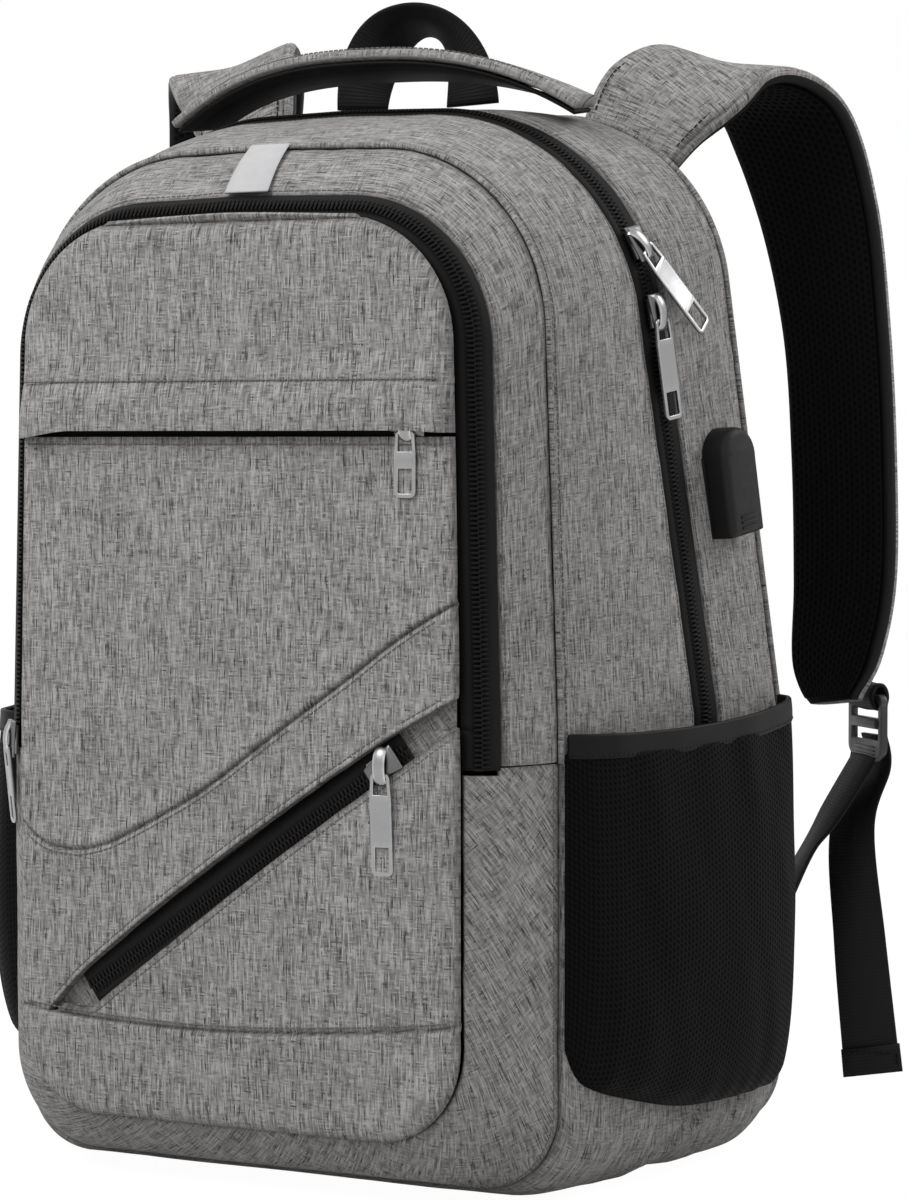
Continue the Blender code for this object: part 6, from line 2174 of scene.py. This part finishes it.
class BACKPACK_OT_sliders(bpy.types.Operator):
    """Build the zip sliders and their pulls"""
    bl_idname = "backpack.sliders"
    bl_label = "Sliders and pulls"

    def execute(self, context):
        return run(sliders)


class BACKPACK_OT_side_pockets(bpy.types.Operator):
    """Build the net side pockets and their bound hems"""
    bl_idname = "backpack.side_pockets"
    bl_label = "Side pockets"

    def execute(self, context):
        side_pocket(1, "right", 24, 1.3)
        side_pocket(-1, "left", 36, 0.9)
        return {"FINISHED"}


class BACKPACK_OT_port(bpy.types.Operator):
    """Build the hood of the charging port and finish its socket"""
    bl_idname = "backpack.port"
    bl_label = "Charging port"

    def execute(self, context):
        return run(charging_port)


class BACKPACK_OT_handles(bpy.types.Operator):
    """Build the carry handle and the haul loop"""
    bl_idname = "backpack.handles"
    bl_label = "Handles"

    def execute(self, context):
        return run(carry_handle, haul_loop)


class BACKPACK_OT_straps(bpy.types.Operator):
    """Build the shoulder straps with their buckles, webbing and tails"""
    bl_idname = "backpack.straps"
    bl_label = "Shoulder straps"

    def execute(self, context):
        for side, name in ((1, "right"), (-1, "left")):
            shoulder_strap(side, name)
            buckle_set(side, name)
        return {"FINISHED"}


class BACKPACK_OT_back(bpy.types.Operator):
    """Build the padded back, the laptop sleeve and the divider"""
    bl_idname = "backpack.back"
    bl_label = "Back and inside"

    def execute(self, context):
        return run(back_panel, inside)


STEPS = (BACKPACK_OT_stage, BACKPACK_OT_front, BACKPACK_OT_gussets, BACKPACK_OT_base, BACKPACK_OT_zips,
         BACKPACK_OT_sliders, BACKPACK_OT_side_pockets, BACKPACK_OT_port, BACKPACK_OT_handles, BACKPACK_OT_straps,
         BACKPACK_OT_back)


class BACKPACK_PT_panel(bpy.types.Panel):
    """Sizes, colours and steps of the backpack"""
    bl_idname = "BACKPACK_PT_panel"
    bl_label = "Backpack"
    bl_space_type = "VIEW_3D"
    bl_region_type = "UI"
    bl_category = "Backpack"

    def draw(self, context):
        for step in STEPS:
            self.layout.operator(step.bl_idname)
        for values in (context.scene.backpack_sizes, context.scene.backpack_looks, context.scene.backpack_stage):
            box = self.layout.box()
            for name in values.bl_rna.properties.keys():
                if name not in ("rna_type", "name"):
                    box.prop(values, name)


CLASSES = (BackpackSizes, BackpackLooks, BackpackStage, *STEPS, BACKPACK_PT_panel)


def register():
    for made in CLASSES:
        bpy.utils.register_class(made)
    bpy.types.Scene.backpack_sizes = bpy.props.PointerProperty(type=BackpackSizes)
    bpy.types.Scene.backpack_looks = bpy.props.PointerProperty(type=BackpackLooks)
    bpy.types.Scene.backpack_stage = bpy.props.PointerProperty(type=BackpackStage)


def unregister():
    for name in ("backpack_sizes", "backpack_looks", "backpack_stage"):
        delattr(bpy.types.Scene, name)
    for made in reversed(CLASSES):
        bpy.utils.unregister_class(made)


def main():
    register()
    bpy.ops.backpack.stage()
    bpy.ops.backpack.front()
    bpy.ops.backpack.gussets()
    bpy.ops.backpack.base()
    bpy.ops.backpack.zips()
    bpy.ops.backpack.sliders()
    bpy.ops.backpack.side_pockets()
    bpy.ops.backpack.port()
    bpy.ops.backpack.handles()
    bpy.ops.backpack.straps()
    bpy.ops.backpack.back()


if __name__ == "__main__":
    main()
